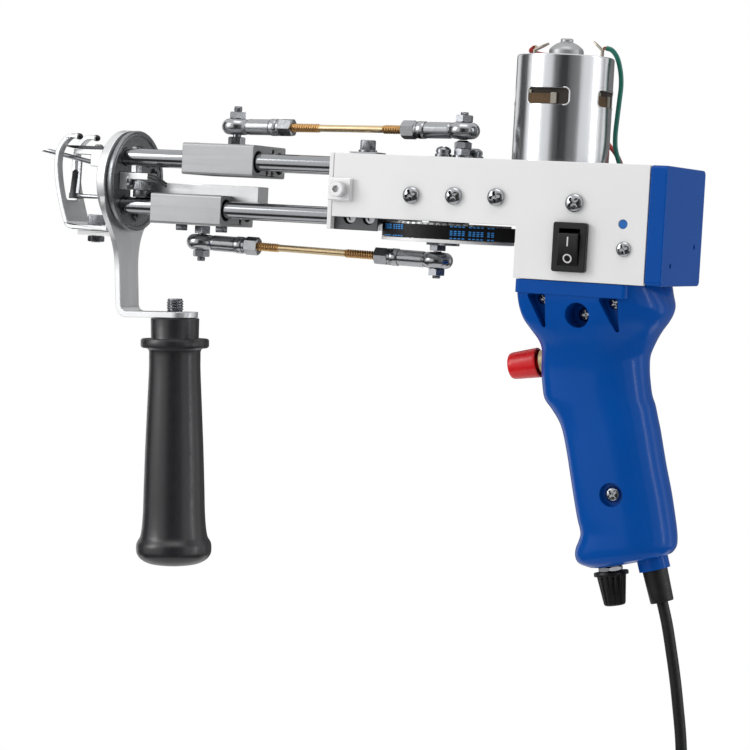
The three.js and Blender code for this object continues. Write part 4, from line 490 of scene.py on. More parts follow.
def hexnut(across, height, bore=0.0, n=48):
    """A hexagon nut standing on z = 0, its corners turned off in a cone."""
    flat = across / 2
    crown = flat * 0.985
    slope = tan(radians(28))
    angles = [2 * PI * i / n for i in range(n)]
    reach = [flat / cos((a + PI / 6) % (PI / 3) - PI / 6) for a in angles]
    hexagon = [(r, max(0.0, (r - crown) * slope)) for r in reach]
    rows = [[(crown, 0)] * n, hexagon, [(r, height - drop) for r, drop in hexagon], [(crown, height)] * n]
    if bore:
        rows += [[(r, z)] * n for r, z in ((bore + 0.25, height), (bore, height - 0.25), (bore, 0))]
    bm = bmesh.new()
    rings = [[bm.verts.new((*polar(r, a), z)) for a, (r, z) in zip(angles, row)] for row in rows]
    bridge(bm, [*rings, rings[0]] if bore else rings, not bore)
    return mesh_of(bm)


def threaded(r, depth, pitch, length, seg=40, per=6):
    """A screw thread on a rod that stands on z = 0."""
    rows = max(4, round(length / pitch * per))
    bm = bmesh.new()
    rings = []
    for j in range(rows + 1):
        z = length * j / rows
        taper = min(1.0, z / pitch, (length - z) / pitch)
        row = []
        for i in range(seg):
            wave = abs(2 * ((z / pitch - i / seg) % 1) - 1)
            s = r - depth + depth * min(1.0, wave * 1.35) * taper
            row.append(bm.verts.new((*polar(s, 2 * PI * i / seg), z)))
        rings.append(row)
    bridge(bm, rings, True)
    return mesh_of(bm, 0)


def hexagon_hole(across, low, high):
    return prism(ring(across / sqrt(3), n=6), low, high)


def cross_head(r, height, spin=0.0, dish=0.72):
    """A pan head with a cross recess, standing on z = 0."""
    side, low, above = height * 0.28, height * (1 - dish), height + 0.5
    dome = [(r * cos(a), side + height * 0.72 * sin(a)) for a in (PI / 2 * i / 10 for i in range(1, 10))]
    head = lathe([(0, 0), (r, 0), (r, side), *dome, (0, height)], 48)
    wing = prism(rect(r * 1.3, r * 0.36, r * 0.1, n=2), low, height + 1)
    core = lathe([(0, low - r * 0.12), (r * 0.26, height * 0.5), (r * 0.34, above), (0, above)], 24)
    return cut(head, *[moved(tool, turn("Z", spin + more)) for tool, more in ((wing, 0), (wing, 90), (core, 0))])


def cap_screw(r, height, across, flutes=36):
    """A knurled socket head, standing on z = 0."""
    profile = [(0, 0), (r * 0.97, 0), (r, r * 0.03), (r, height * 0.86), (r * 0.9, height), (0, height)]
    head = lathe(profile, flutes * 4, flutes=flutes, flute_depth=r * 0.045, fluted=(2, 3))
    return cut(head, moved(hexagon_hole(across, height * 0.45, height + 1), turn("Z", 12)))


def button_screw(r, height, across):
    dome = [(r * cos(a), height * sin(a)) for a in (PI / 2 * i / 10 for i in range(9))]
    head = lathe([(0, 0), *dome, (r * 0.2, height), (0, height)], 48)
    return cut(head, hexagon_hole(across, height * 0.35, height + 1))


def piece(name, mesh, look, replaced=(), at=Matrix(), body="machine_frame", bevel=0.0, smooth=35,
          segments=2, even=False):
    """Puts a finished mesh into the scene, riding on its body."""
    made = moved(mesh, TO_PART @ at)
    made.name = name
    made.materials.clear()
    made.materials.append(look)
    for face in made.polygons:
        face.material_index = 0
        face.use_smooth = True
    made.set_sharp_from_angle(angle=radians(smooth))
    o = bpy.data.objects.new(name, made)
    scene.collection.objects.link(o)
    if bevel > 0:
        edges = o.modifiers.new("edges", "BEVEL")
        edges.width, edges.segments = bevel * MM, segments
        edges.limit_method, edges.angle_limit = "ANGLE", radians(smooth)
        edges.use_clamp_overlap = False
    if bevel > 0 or even:
        normals = o.modifiers.new("normals", "WEIGHTED_NORMAL")
        normals.mode, normals.weight, normals.keep_sharp = "FACE_AREA", 100, True
    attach(o, body)
    if replaced:
        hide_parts(*([replaced] if isinstance(replaced, str) else replaced))
    return o


# Stage: white surroundings, soft lamps, dark flags and a floor
def build_world():
    world = bpy.data.worlds.new("studio")
    scene.world = world
    tree = Nodes(world)
    fill = tree.nodes["Background"]
    tree.feed(fill, {"Color": WHITE, "Strength": 0.6})
    seen = tree.node("Background", {"Color": WHITE, "Strength": 1})
    tree.mixed(tree.seen_share(), fill.outputs[0], seen, "World Output")


build_world()
OBJECT_CENTRE = Vector((-0.11, 0, 0.0))


def around(azimuth, distance, height):
    """A place round the object, its azimuth in degrees to the right of the camera."""
    a = AZIMUTH + radians(azimuth)
    return OBJECT_CENTRE + Vector((sin(a) * distance, -cos(a) * distance, height))


for name, azimuth, distance, height, width, tall, watts in (
    ("lamp_left", -72, 1.6, 0.6, 0.7, 1.1, 10.0),
    ("lamp_right", 74, 1.7, 0.35, 0.24, 1.3, 5.0),
    ("lamp_top", -10, 0.5, 1.6, 1.1, 0.9, 6.0),
):
    lamp = bpy.data.lights.new(name, "AREA")
    lamp.shape, lamp.size, lamp.size_y, lamp.energy = "RECTANGLE", width, tall, watts
    o = bpy.data.objects.new(name, lamp)
    o.location = around(azimuth, distance, height)
    o.rotation_mode = "QUATERNION"
    o.rotation_quaternion = (OBJECT_CENTRE - o.location).to_track_quat("-Z", "Y")
    scene.collection.objects.link(o)


def staged(name, bm, material, hidden_from):
    mesh = bare_mesh(bm, name)
    mesh.materials.append(material)
    o = bpy.data.objects.new(name, mesh)
    scene.collection.objects.link(o)
    for rays in hidden_from:
        setattr(o, "visible_" + rays, False)


FLAG_FAR, FLAG_STEPS = 2.6, 24


def flag(name, start, end, low, high, shade):
    """A dark studio flag, seen only in reflections: an upright curved panel from one azimuth to another."""
    bm = bmesh.new()
    columns = []
    for i in range(FLAG_STEPS + 1):
        at = around(start + (end - start) * i / FLAG_STEPS, FLAG_FAR, 0)
        columns.append([bm.verts.new((at.x, at.y, h)) for h in (low, high)])
    for a, b in zip(columns, columns[1:]):
        bm.faces.new([a[0], b[0], b[1], a[1]])
    material = bpy.data.materials.new(name)
    tree = Nodes(material)
    tree.feed(tree.nodes["Material Output"], {"Surface": tree.node("Emission", {"Color": (shade, shade, shade, 1)})})
    staged(name, bm, material, ("camera", "diffuse", "transmission", "shadow", "volume_scatter"))


for name, *rest in (
    ("flag_front_left", -31, -19, -0.8, 1.6, 0.16),
    ("flag_front", -19, 8, -0.8, 1.6, 0.04),
    ("flag_front_right", 8, 34, -0.8, 1.6, 0.22),
    ("flag_left_rear", -135, -100, -1.2, 1.6, 0.06),
    ("flag_right", 94, 101, -1.2, 1.6, 0.25),
    ("flag_right_rear", 118, 160, -1.2, 1.6, 0.2),
    ("flag_rear", 160, 200, -1.2, 1.6, 0.1),
    ("flag_low", -120, 120, -2.6, -0.72, 0.07),
):
    flag(name, *rest)

FLOOR_Z, FLOOR_SIZE = -0.3065, 12
PAPER = (0.86, 0.86, 0.86, 1)


def build_floor():
    bm = bmesh.new()
    bmesh.ops.create_grid(bm, x_segments=8, y_segments=8, size=FLOOR_SIZE)
    for v in bm.verts:
        v.co.z = FLOOR_Z
    material = bpy.data.materials.new("floor_paper")
    tree = Nodes(material)
    paper = tree.nodes["Principled BSDF"]
    tree.feed(paper, {"Base Color": PAPER, "Roughness": 0.9, "Specular IOR Level": 0.1})
    glow = tree.node("Emission", {"Color": WHITE, "Strength": 1})
    # Away from the object the paper fades into the white surroundings; near it the shadow stays.
    place = tree.node("TexCoord", {}, "Object")
    away = tree.node("VectorMath", {0: place}, "Value", operation="LENGTH")
    share = tree.maths("MULTIPLY", tree.ranged(away, 0.6, 1, 0.22, 0.55), tree.seen_share())
    tree.mixed(share, paper.outputs[0], glow, "Material Output")
    staged("floor", bm, material, ("glossy",))


build_floor()

# Cord
CORD_RADIUS = 2.5
CORD_ROUTE = [
    (41.8, -114), (43.3, -118.8), (44.9, -124.1), (46.5, -129.3), (48.1, -134.6), (50.1, -141), (51.5, -146),
    (52.8, -151.5), (54, -157), (55.2, -162.5), (56.4, -168.5), (57.5, -174.5), (58.5, -180.5), (59.5, -186.5),
    (60.4, -192.5), (61.1, -198.5), (61.7, -204.5), (62.1, -210.5), (62.3, -216.5), (62.4, -222.5),
    (62.4, -227.5), (62.4, -232.5),
]
HANK_TURNS, HANK_STEPS, HANK_FOLD, HANK_STEP, HANK_LAYER = 7, 24, 15, 6.2, 5.8
HANK_HALF, HANK_WAIST, HANK_TAIL, HANK_DRIFT = 24, 8, 40, 4.5
HANK_REVERSES, HANK_CROSSING = [1.75, 3.75, 5.75], 0.38
HANK_RUN, HANK_BEND = 2 * HANK_HALF, PI * (HANK_FOLD + HANK_STEP)
HANK_LOOP = 2 * (HANK_RUN + HANK_BEND)
BITE = 0.25  # how far a piece reaches into its neighbour


def eased(s):
    return s * s * (3 - 2 * s)


def hank_spread(t):
    marks = [HANK_REVERSES[0] - 2, *HANK_REVERSES, HANK_REVERSES[2] + 2]
    for i, (start, end) in enumerate(zip(marks, marks[1:])):
        if t <= end:
            s = (t - start) / (end - start)
            return (s if i % 2 else 1 - s) * (end - start) * HANK_STEP
    return 0


def hank_layer(t):
    return sum(eased(min(1, max(0, (t - mark) / HANK_CROSSING + 0.5))) for mark in HANK_REVERSES)


def hank_point(t):
    r = HANK_FOLD + hank_spread(t)
    run, fold = HANK_RUN, HANK_BEND
    along, y = (t % 1) * HANK_LOOP, hank_layer(t) * HANK_LAYER

    def drawn(z):
        return HANK_WAIST * (1 - (z / HANK_HALF) ** 2) ** 2

    if along < fold / 2 or along >= HANK_LOOP - fold / 2:
        a = ((along if along < fold / 2 else along - HANK_LOOP) / fold) * PI
        return (r * sin(a), y, HANK_HALF + r * cos(a))
    along -= fold / 2
    if along < run:
        z = HANK_HALF - along
        return (r - drawn(z), y, z)
    along -= run
    if along < fold:
        a = along / fold * PI
        return (r * cos(a), y, -HANK_HALF - r * sin(a))
    z = -HANK_HALF + along - fold
    return (-r + drawn(z), y, z)


def hank_route():
    first, wound = HANK_BEND / 2 / HANK_LOOP, HANK_TURNS + HANK_RUN / HANK_LOOP
    count = round(wound * HANK_STEPS)
    points = [Vector(hank_point(first + wound * i / count)) for i in range(count + 1)]
    points.insert(0, points[0] + Vector((0, 0, 2 * CORD_RADIUS)))
    end = points[-1].copy()
    points += [end + Vector((0, HANK_DRIFT * eased(i / 5), -HANK_TAIL * i / 5)) for i in range(1, 6)]
    points.append(points[-1] - Vector((0, 0, 2 * CORD_RADIUS)))
    hang = Vector((CORD_ROUTE[-1][0], 0, CORD_ROUTE[-1][1] - BITE))
    offset = hang - points[0]
    return [p + offset for p in points]


hank = hank_route()
cord_line = [*catmull([(x, 0, z) for x, z in CORD_ROUTE], 3), *catmull(hank, 4)]
cord_points = [TO_PART @ p for p in cord_line]


def cord_piece():
    curve = bpy.data.curves.new("cord", "CURVE")
    curve.dimensions, curve.use_fill_caps = "3D", True
    curve.bevel_depth, curve.bevel_resolution = CORD_RADIUS * MM, 6
    spline = curve.splines.new("POLY")
    spline.points.add(len(cord_points) - 1)
    for point, at in zip(spline.points, cord_points):
        point.co = (*at, 1)
    spline.use_smooth = True
    curve.materials.append(rubber)
    o = bpy.data.objects.new("cord", curve)
    scene.collection.objects.link(o)
    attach(o, "machine_frame")
    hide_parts("cord_stretch", "cord_hank")
    return o


cord = cord_piece()
SLEEVE = shift(43.3, 0, -118.8) @ Matrix.Rotation(-0.297, 4, "Y")
sleeve = piece("strain_relief", lathe(
        [(2.75, 6), (5.6, 6), (5.6, 0), *[(5.6 - 0.5 * s / 17.4, -s) for s in (2, 6, 10, 14)], (5.12, -17.4),
         (4.9, -18), (3.1, -18.1), (2.75, -17.7)], 64, closed=True), rubber, "cord_sleeve", at=SLEEVE, smooth=50)

hank_end = hank[-1] - Vector((0, 0, BITE))
socket = piece("cord_end_socket", lathe(
        [(0, 0), (3.5, 0), (3.7, -0.3), (4.1, -7.6), (4.5, -8.6), (5.3, -10.4), (5.4, -11), (5.4, -18), (5.15, -18.2),
         (5.15, -19), (5.4, -19.2), (5.4, -29.6), (5.1, -30), (3, -30), (2.8, -29.8), (2.8, -20), (1, -20), (1, -28.4),
         (0.6, -29), (0, -29)], 64), black, "dc_socket", at=shift(*hank_end), smooth=40)


TIE_RADIUS, TIE_END_RADIUS, TIE_ROOM = 0.8, 0.75, 0.9


def hank_tie():
    """A twist tie round the hank's waist, with its two ends wound together."""
    across = [p.x for p in hank[20:-12]]
    half_thick = 3 * HANK_LAYER / 2
    waist = hank[0] - Vector((0, 0, 2 * CORD_RADIUS + HANK_HALF))
    centre = Vector(((min(across) + max(across)) / 2, half_thick, waist.z))
    inside = [p for p in hank if abs(p.z - centre.z) < 6]
    half_x = max(abs(p.x - centre.x) for p in inside) + CORD_RADIUS + TIE_ROOM
    half_y = half_thick + CORD_RADIUS + TIE_ROOM
    loops = []
    for z in (-1.1, 1.1):
        outline = rect(2 * half_x, 2 * half_y, 4.5, centre.x, centre.y, 8)
        loops.append(tube([(x, y, centre.z + z) for x, y in outline], TIE_RADIUS, 8, closed=True))
    knot_at = centre + Vector((half_x - 8, -half_y - TIE_ROOM, -1.5))
    knot = [knot_at + Vector((1.2 * cos(a), 1.1 * sin(a), a * 0.36)) for a in (PI * i / 6 for i in range(15))]
    loops.append(tube(catmull(knot, 2), TIE_END_RADIUS, 8))
    for end, way in ((knot[0], -1), (knot[-1], 1)):
        tail = [end, end + Vector((2, -0.6, way * 2.4)), end + Vector((5.5, 0.4, way * 5))]
        loops.append(tube(catmull(tail, 5), TIE_END_RADIUS, 8))
    return together(*loops)


tie = piece("hank_tie", hank_tie(), tie_coat, smooth=60)

# Body
PLATE_OUTER, PLATE_INNER, INSIDE = 27.8, 24.8, 24.55
PEG, CAP_SCREW = (29.9, 25.2), (30.9, 14.8)
SCREW_XS, SCREW_Z = (-66.4, -46.6, -26.9, 8.7), 33.7
PLATE = [(-105.7, 22.3), (-18.1, 22.3), (-18.1, 0), (40.4, 0), (40.4, 50.4), (-105.7, 50.4)]
SWITCH_X, SWITCH_Z = 7.6, 14.4


def side_plate(low, high, opening):
    holes = [ring(2.1, x, SCREW_Z, 32) for x in SCREW_XS]
    holes += [ring(2, *PEG, 32), ring(1.6, *CAP_SCREW, 32)]
    if opening:
        holes.append(rect(13.1, 19.1, 0.4, SWITCH_X, SWITCH_Z, 2))
    return plate([filleted(PLATE, [0.6, 0.5, 0.6, 0.6, 0.6, 0.6], 4), *holes], low, high, "y", 0.25)


piece("plate_near", side_plate(-PLATE_OUTER, -PLATE_INNER, True), white_coat, "side_plate_near", even=True)
piece("plate_far", side_plate(PLATE_INNER, PLATE_OUTER, False), white_coat, "side_plate_far", even=True)

SEEN_XS = (-67.3, -47.3, -27.6, 8.1)
SEEN_ZS = (33.2, 33.7, 34.05, 33.15)
SPINS = {"near": (20, 38, 12, 41, 18), "far": (35, 8, 50, 22, 33)}
for tag, side, facing in SIDES:
    *spins, cap_spin = SPINS[tag]
    for k, (x, z, spin) in enumerate(zip(SEEN_XS, SEEN_ZS, spins)):
        radius = 3.75 if k < 3 else 3.9
        washer = lathe([(0, 0), (radius - 0.1, 0), (radius, 0.1), (radius, 0.5), (radius - 0.15, 0.6), (0, 0.6)], 48)
        head = together(washer, moved(cross_head(radius * 1.02, 2.4, spin, 0.85), shift(0, 0, 0.5)))
        piece(f"plate_screw_{tag}_{k + 1}", head, zinc, at=shift(x, side * PLATE_OUTER, z) @ facing, smooth=40)
    piece(f"cap_screw_{tag}", cross_head(3.2, 1.9, cap_spin), zinc,
          at=shift(CAP_SCREW[0], side * PLATE_OUTER, CAP_SCREW[1]) @ facing, smooth=40)
    piece(f"sight_peg_{tag}", rod("y", 1.9, *PEG, *sorted((side * 24.6, side * 27.4)), 32), peg_blue)

SHAFT_Y, UPPER_Z, LOWER_Z, SHAFT_HOLE = 10.6, 45.2, 22.4, 4.25
SHAFTS = {
    f"{row}_shaft_{tag}": (side * SHAFT_Y, z, rear)
    for row, z, rear in (("upper", UPPER_Z, -84.75), ("lower", LOWER_Z, -92.05)) for tag, side, facing in SIDES
}
BULKHEAD_FRONT = -107.95

yz_holes = [ring(SHAFT_HOLE, y, z, 40) for y, z, rear in SHAFTS.values()]
bulkhead = [(-27.8, 16.6), (27.8, 16.6), (27.8, 50.4), (-27.8, 50.4)]
piece("bulkhead", plate([filleted(bulkhead, 0.4, 3), *yz_holes], BULKHEAD_FRONT, BULKHEAD_FRONT + 2, "x", 0.25),
      white_coat, "front_bulkhead", even=True)
clamp = prism([[(-24.55, 16.6), (24.55, 16.6), (24.55, 49.6), (-24.55, 49.6)], *yz_holes], -105.7, -84.5, "x")
CLAMP_SEATS, SEAT_Y, SEAT_Z = (-98.3, -89.0), 21.55, 22.2
CRANK_X, MOTOR_X = -60.8, -9.8
seats = [rod("y", 2.9, x, SEAT_Z, *ends, 40) for x in CLAMP_SEATS for ends in ((-30, -SEAT_Y), (SEAT_Y, 30))]
clamp = cut(clamp, rod("z", 31.0, CRANK_X, 0, 10, 23.1, 96), *seats)
clamp = cut(clamp, prism([(-84.5, -24), (-70, -24), (-70, 30), (-106.9, 30), (-106.9, 24.5)], 0, 21.8))
piece("clamp_block", clamp, block_metal, "shaft_clamp_block", bevel=0.2)
for tag, side, facing in SIDES:
    for k, x in enumerate(CLAMP_SEATS):
        seat = cut(lathe([(0, 0), (2.7, 0), (2.7, 1.0), (2.4, 1.3), (0, 1.3)], 32), prism(ring(1.5, n=6), 0.4, 2))
        piece(f"clamp_screw_{tag}_{k + 1}", seat, zinc, at=shift(x, side * SEAT_Y, SEAT_Z) @ facing,
              smooth=40)
piece("base_sheet", box(-17.85, 38, -INSIDE, INSIDE, 0, 3), milled, "base_plate", bevel=0.25)

CORNER_X, CORNER_Z, CORNER_OUT = BULKHEAD_FRONT + 1.3 + 5.5, 34.3, -30.65
corner = plate(rect(11, 10.2, 0.8, CORNER_X, CORNER_Z, 4), CORNER_OUT, -28.05, "y", 0.5, 4)
piece("corner_plate", corner, bright_zinc, "corner_block_near", even=True)
piece("corner_screw", cap_screw(3.5, 4, 3), bright_zinc, at=shift(CORNER_X, CORNER_OUT, CORNER_Z) @ OUT_NEAR, smooth=40)
TOP_SCREW_X, PAD_TOP = -97.6, 51.6
piece("top_screw_pad", plate(rect(14, 10, 0.8, TOP_SCREW_X, -SHAFT_Y, 4), 49.6, PAD_TOP, "z", 0.3), zinc,
      even=True)
top_screw = together(lathe([(0, 0), (4.1, 0), (4.2, 0.1), (4.2, 0.9), (4.1, 1), (0, 1)], 48),
                     moved(cap_screw(3.5, 4.4, 3), shift(0, 0, 1)))
piece("top_screw", top_screw, steel, at=shift(TOP_SCREW_X, -SHAFT_Y, PAD_TOP), smooth=40)


def rear_cap():
    body = plate(rect(55.6, 50.4, 2.2, 0, 25.2, 8), 40.65, 48, "x", 0.7, 5)
    hollow = prism(rect(44.3, 45.6, 1.1, 0, 25.2, 4), 38, 45.6, "x")
    tongues = [box(25.65, 42, a, b, 5.65, 45.6) for a, b in ((-24.55, -22.15), (22.15, 24.55))]
    holes = [rod("x", 1.2, -16.5, 8.7, 40, 50, 32), rod("x", 1.2, 16.5, 17, 40, 50, 32)]
    return cut(join(cut(body, hollow), *tongues), *holes)


piece("rear_cover", rear_cap(), blue, "rear_cap", even=True, smooth=32)

# Shafts, ring, front plate
for node, (y, z, rear) in SHAFTS.items():
    profile = [(0, -226.05), (3.6, -226.05), (4, -225.65), (4, rear - 0.4), (3.6, rear), (0, rear)]
    piece("guide_" + node, lathe(profile, 64), polished, node, at=shift(0, y, z) @ ALONG_X, even=True, smooth=30)

RING_Z = 33.9
AXIS = shift(0, 0, RING_Z) @ ALONG_X


def ring_slot(x0, x1):
    return prism(filleted([(-4.9, 22.8), (4.9, 22.8), (4.9, 50.6), (-4.9, 50.6)], 1.2, 4), x0, x1, "x")


ring_profile = [
    (0, -226.3), (21.8, -226.3), (22.2, -225.9), (22.2, -224.75), (21.7, -224.6), (23.5, -224.6), (23.9, -224.2),
    (23.9, -222.8), (23.5, -222.4), (22.9, -222.4), (22.75, -222.65), (22.45, -222.65), (22.3, -222.4),
    (21.6, -222.4), (21.5, -223.3), (0, -223.3),
]
front_ring = moved(lathe(ring_profile, 160), AXIS)
shaft_holes = [rod("x", SHAFT_HOLE, y, z, -230, -220) for y, z, rear in SHAFTS.values()]
front_ring = cut(front_ring, ring_slot(-230, -220), *shaft_holes)
piece("bearing_ring", front_ring, gunmetal, "front_ring", bevel=0.12, smooth=30)

ARM_LEAN, FOOT_RISE = 0.075, 0.047
SHEET_REAR, SHEET, BOSS_FRONT = -226.55, 2.8, -231.05
ELBOW_X, ELBOW_Z, ELBOW_R = -220.77, -24.6, 6
ARM_FOOT, STUD_X, STUD_HOLE = -187.8, -198.8, 4.25


def front_plate():
    inner = ELBOW_R - SHEET
    under = -30.6 + tan(FOOT_RISE) * (ARM_FOOT - ELBOW_X)
    start, end = PI + ARM_LEAN, PI * 1.5 + FOOT_RISE
    side = [(SHEET_REAR, RING_Z), (SHEET_REAR, 9.7)]
    side += arc(ELBOW_X, ELBOW_Z, inner, start, end, 16)
    side += [(ARM_FOOT, under + SHEET), (ARM_FOOT, under)]
    side += arc(ELBOW_X, ELBOW_Z, ELBOW_R, end, start, 24)
    side += [(SHEET_REAR - SHEET, 9.7), (SHEET_REAR - SHEET, RING_Z)]

    def bezier(p0, p1, p2, p3, n=20):
        out = []
        for i in range(n + 1):
            t = i / n
            a, b, c, d = (1 - t) ** 3, 3 * t * (1 - t) ** 2, 3 * t * t * (1 - t), t**3
            out.append(tuple(a * p0[k] + b * p1[k] + c * p2[k] + d * p3[k] for k in (0, 1)))
        return out

    left = bezier((-22.5, 26), (-22.5, 13), (-8.6, 13), (-8.6, -9))
    front = [*left, (-8.6, -34), (8.6, -34), *[(-y, z) for y, z in reversed(left)], (0, RING_Z)]
    arm = both(prism(side, -23, 23, "y"), prism(front, -240, -180, "x"))
    foot = filleted([(-240, -8.6), (ARM_FOOT, -8.6), (ARM_FOOT, 8.6), (-240, 8.6)], [0, 8.3, 8.3, 0], 12)
    arm = both(arm, join(prism(foot, -34, 9.7), box(-240, -205, -23, 23, -20, 40)))
    disc = [(0, BOSS_FRONT), (23.4, BOSS_FRONT), (23.9, BOSS_FRONT + 0.5), (23.9, SHEET_REAR), (0, SHEET_REAR)]
    whole = join(moved(lathe(disc, 128), AXIS), arm)
    return cut(whole, ring_slot(-235, -220), rod("z", STUD_HOLE, STUD_X, 0, -40, 0))


piece("bent_plate", front_plate(), arm_metal, "front_plate", bevel=0.25, smooth=32)
piece("ring_block_bar", join(box(-223.05, -219.05, -16, -7.6, 29.7, 37.7), box(-220, -207.65, -16, -7.6, 34.5, 37.7)),
      white_metal, "ring_block", bevel=0.35, segments=3)


# Presser foot
FOOT_T, FOOT_BEND, FOOT_REACH, FOOT_BAR, FOOT_H = 2.2, -254.2, 8.4, 11.9, 42.8
FOOT_BOLT_X, FOOT_BOLT_HOLE = -244.4, 2.75


def foot_path():
    rise, mid = FOOT_H - FOOT_BAR, FOOT_BAR - FOOT_T / 2
    places = [(-232.6, mid), (FOOT_BOLT_X, mid), (FOOT_BEND + FOOT_T * 2, mid),
              (FOOT_BEND + FOOT_T * 0.8, mid + rise * 0.004)]
    for across, up in ((0.12, 0.045), (0.28, 0.14), (0.62, 0.42), (0.9, 0.75), (0.98, 1), (0.88, 1.17),
                       (0.55, 1.32), (0.13, 1.4), (-0.38, 1.395)):
        places.append((FOOT_BEND - FOOT_REACH * across, mid + rise * up))
    return [(x, 0, z) for x, z in places]


def strip(path, thickness):
    left, right = [], []
    for i, p in enumerate(path):
        ahead = (path[min(i + 1, len(path) - 1)] - path[max(i - 1, 0)]).normalized()
        side = Vector((-ahead.z, 0, ahead.x)) * (thickness / 2)
        for edge, q in ((left, p + side), (right, p - side)):
            edge.append((q.x, q.z))
    return [*left, *reversed(right)]


foot_line = catmull(foot_path(), 7)


def presser_foot():
    shape = prism(strip(foot_line, FOOT_T), -10, 10, "y")
    opening = prism(rect(11.2, 85.6, 1.2, 0, 66.2, 8), -280, -245, "x")
    return cut(shape, opening, rod("z", FOOT_BOLT_HOLE, FOOT_BOLT_X, 0, 0, 14))


piece("presser_strip", presser_foot(), white_metal, "presser_foot", bevel=0.3, smooth=32)
tip = foot_line[-1]
tip_way = (foot_line[-1] - foot_line[-4]).normalized()
for tag, y in (("near", -7.8), ("far", 7.8)):
    end = Vector((tip.x, y, tip.z))
    cap = [end - tip_way * 1.2, end, end + tip_way * 0.8, end + tip_way * 1.3, end + tip_way * 1.5]
    piece("prong_tip_" + tag, tube(cap, [1.5, 1.55, 1.3, 0.8, 0.2], 20), rubber, smooth=60)

bracket = join(box(-250.4, -231.3, -7.5, 7.5, 7.15, 9.45), box(-232.35, -231.3, -7.5, 7.5, 7.15, 21))
piece("foot_bracket_bar", cut(bracket, rod("z", FOOT_BOLT_HOLE, FOOT_BOLT_X, 0, 0, 14)), white_coat, "foot_bracket",
      bevel=0.25)
bolt = together(
    moved(cap_screw(4.2, 4.9, 4), shift(0, 0, 12.15)),
    moved(threaded(2.5, 0.3, 0.8, 8.8), shift(0, 0, 3.8)),
    moved(hexnut(7, 2.8, 2.5), shift(0, 0, 4.1)),
)
piece("foot_bolt_and_nut", bolt, steel, "foot_bolt", at=shift(FOOT_BOLT_X), bevel=0.08, smooth=40)

# Side handle
HANDLE_TOP = -30.6 + tan(FOOT_RISE) * (STUD_X - ELBOW_X) - BITE
HANDLE = shift(STUD_X, 0, HANDLE_TOP) @ Matrix.Rotation(-FOOT_RISE, 4, "Y")


def side_handle():
    length, grip, bulge = 117.5, 12.2, 17.9
    top = [(0, 0), (11.2, 0), (11.5, -0.3), (11.32, -9.2), (11.5, -9.65), (15.2, -9.65), (15.9, -9.95), (16.2, -10.6),
           (16.2, -13.0), (15.9, -13.7), (15.2, -14.1), (13.2, -14.3), (12.5, -14.9), (12.2, -16)]
    shares = [(1, 0.155), (1, 0.2), (1.06, 0.35), (1.13, 0.52), (1.18, 0.68), (1.215, 0.8), (1.27, 0.862)]
    body = [(grip * a, 0, -length * b) for a, b in shares]
    end = [(bulge * a, 0, -length * b) for a, b in
           ((0.9, 0.886), (0.985, 0.91), (1, 0.93), (0.985, 0.952), (0.9, 0.972), (0.7, 0.99), (0.4, 0.9985))]
    smooth = catmull([*body, *end], 7)
    made = lathe([*top, *[(p.x, p.z) for p in smooth], (0, -length)], 128)
    return cut(made, rod("z", STUD_HOLE, 0, 0, -19.25, 2))


piece("side_handle_grip", side_handle(), satin_black, "side_handle", at=HANDLE, smooth=28)
stud = together(lathe([(0, -19), (4, -19), (4, 2.9), (0, 2.9)], 48),
                moved(threaded(4, 0.62, 1.25, 6.4), shift(0, 0, 2.85)))
piece("handle_stud", stud, steel, "side_handle_stud", at=HANDLE, smooth=25)

# Motor and its shelf
CAN_RADIUS, WINDOW_Z = 21.15, 78.45
WINDOW_HALF = CAN_RADIUS * sin(0.455)
QUARTERS = [turn("Z", 90 * k) for k in range(4)]


def motor_deck():
    deck = box(-33.4, 14, -INSIDE, INSIDE, 24.2, 29.7)
    lugs = [box(4.4, 13, a, b, 24.2, 38) for a, b in ((-24.55, -15.55), (15.55, 24.55))]
    holes = [rod("z", 21.4, MOTOR_X, 0, 29.7, 97, 96), rod("z", 9, MOTOR_X, 0, 20, 32, 64),
             rod("y", 2.1, 8.7, SCREW_Z, -25, 25, 32)]
    return cut(join(deck, *lugs), *holes)


piece("motor_shelf", motor_deck(), milled, "motor_deck", bevel=0.25)


def motor_shell():
    profile = [
        (0, 29.95), (19.9, 29.95), (20.7, 30.2), (21.1, 30.8), (21.15, 31.4), (21.15, 95.5), (21.0, 96.05),
        (20.6, 96.4), (19.6, 96.4), (19.3, 96.1), (19.0, 95.9), (9.2, 95.9), (8.6, 96.1), (7.8, 96.5), (7.4, 96.6),
        (0, 96.6),
    ]
    window = prism(rect(2 * WINDOW_HALF, 7.1, 1.9, 0, WINDOW_Z, 6), 18.75, 23, "x")
    return cut(lathe(profile, 192), *[moved(window, quarter) for quarter in QUARTERS])


boss = lathe([
    (0, 95.8), (7.55, 95.8), (7.6, 96.2), (7.55, 98.8), (7.4, 99.5), (7.0, 100.1), (6.4, 100.7), (5.6, 101.3),
    (4.7, 101.9), (3.8, 102.4), (3.0, 102.7), (2.75, 102.9), (2.75, 103.9), (2.5, 104.3), (2.1, 104.4), (1.7, 104.2),
    (1.55, 103.8), (1.55, 102.6), (0, 102.6),
], 96)
piece("motor_bearing_boss", boss, milled, at=shift(MOTOR_X), smooth=40)


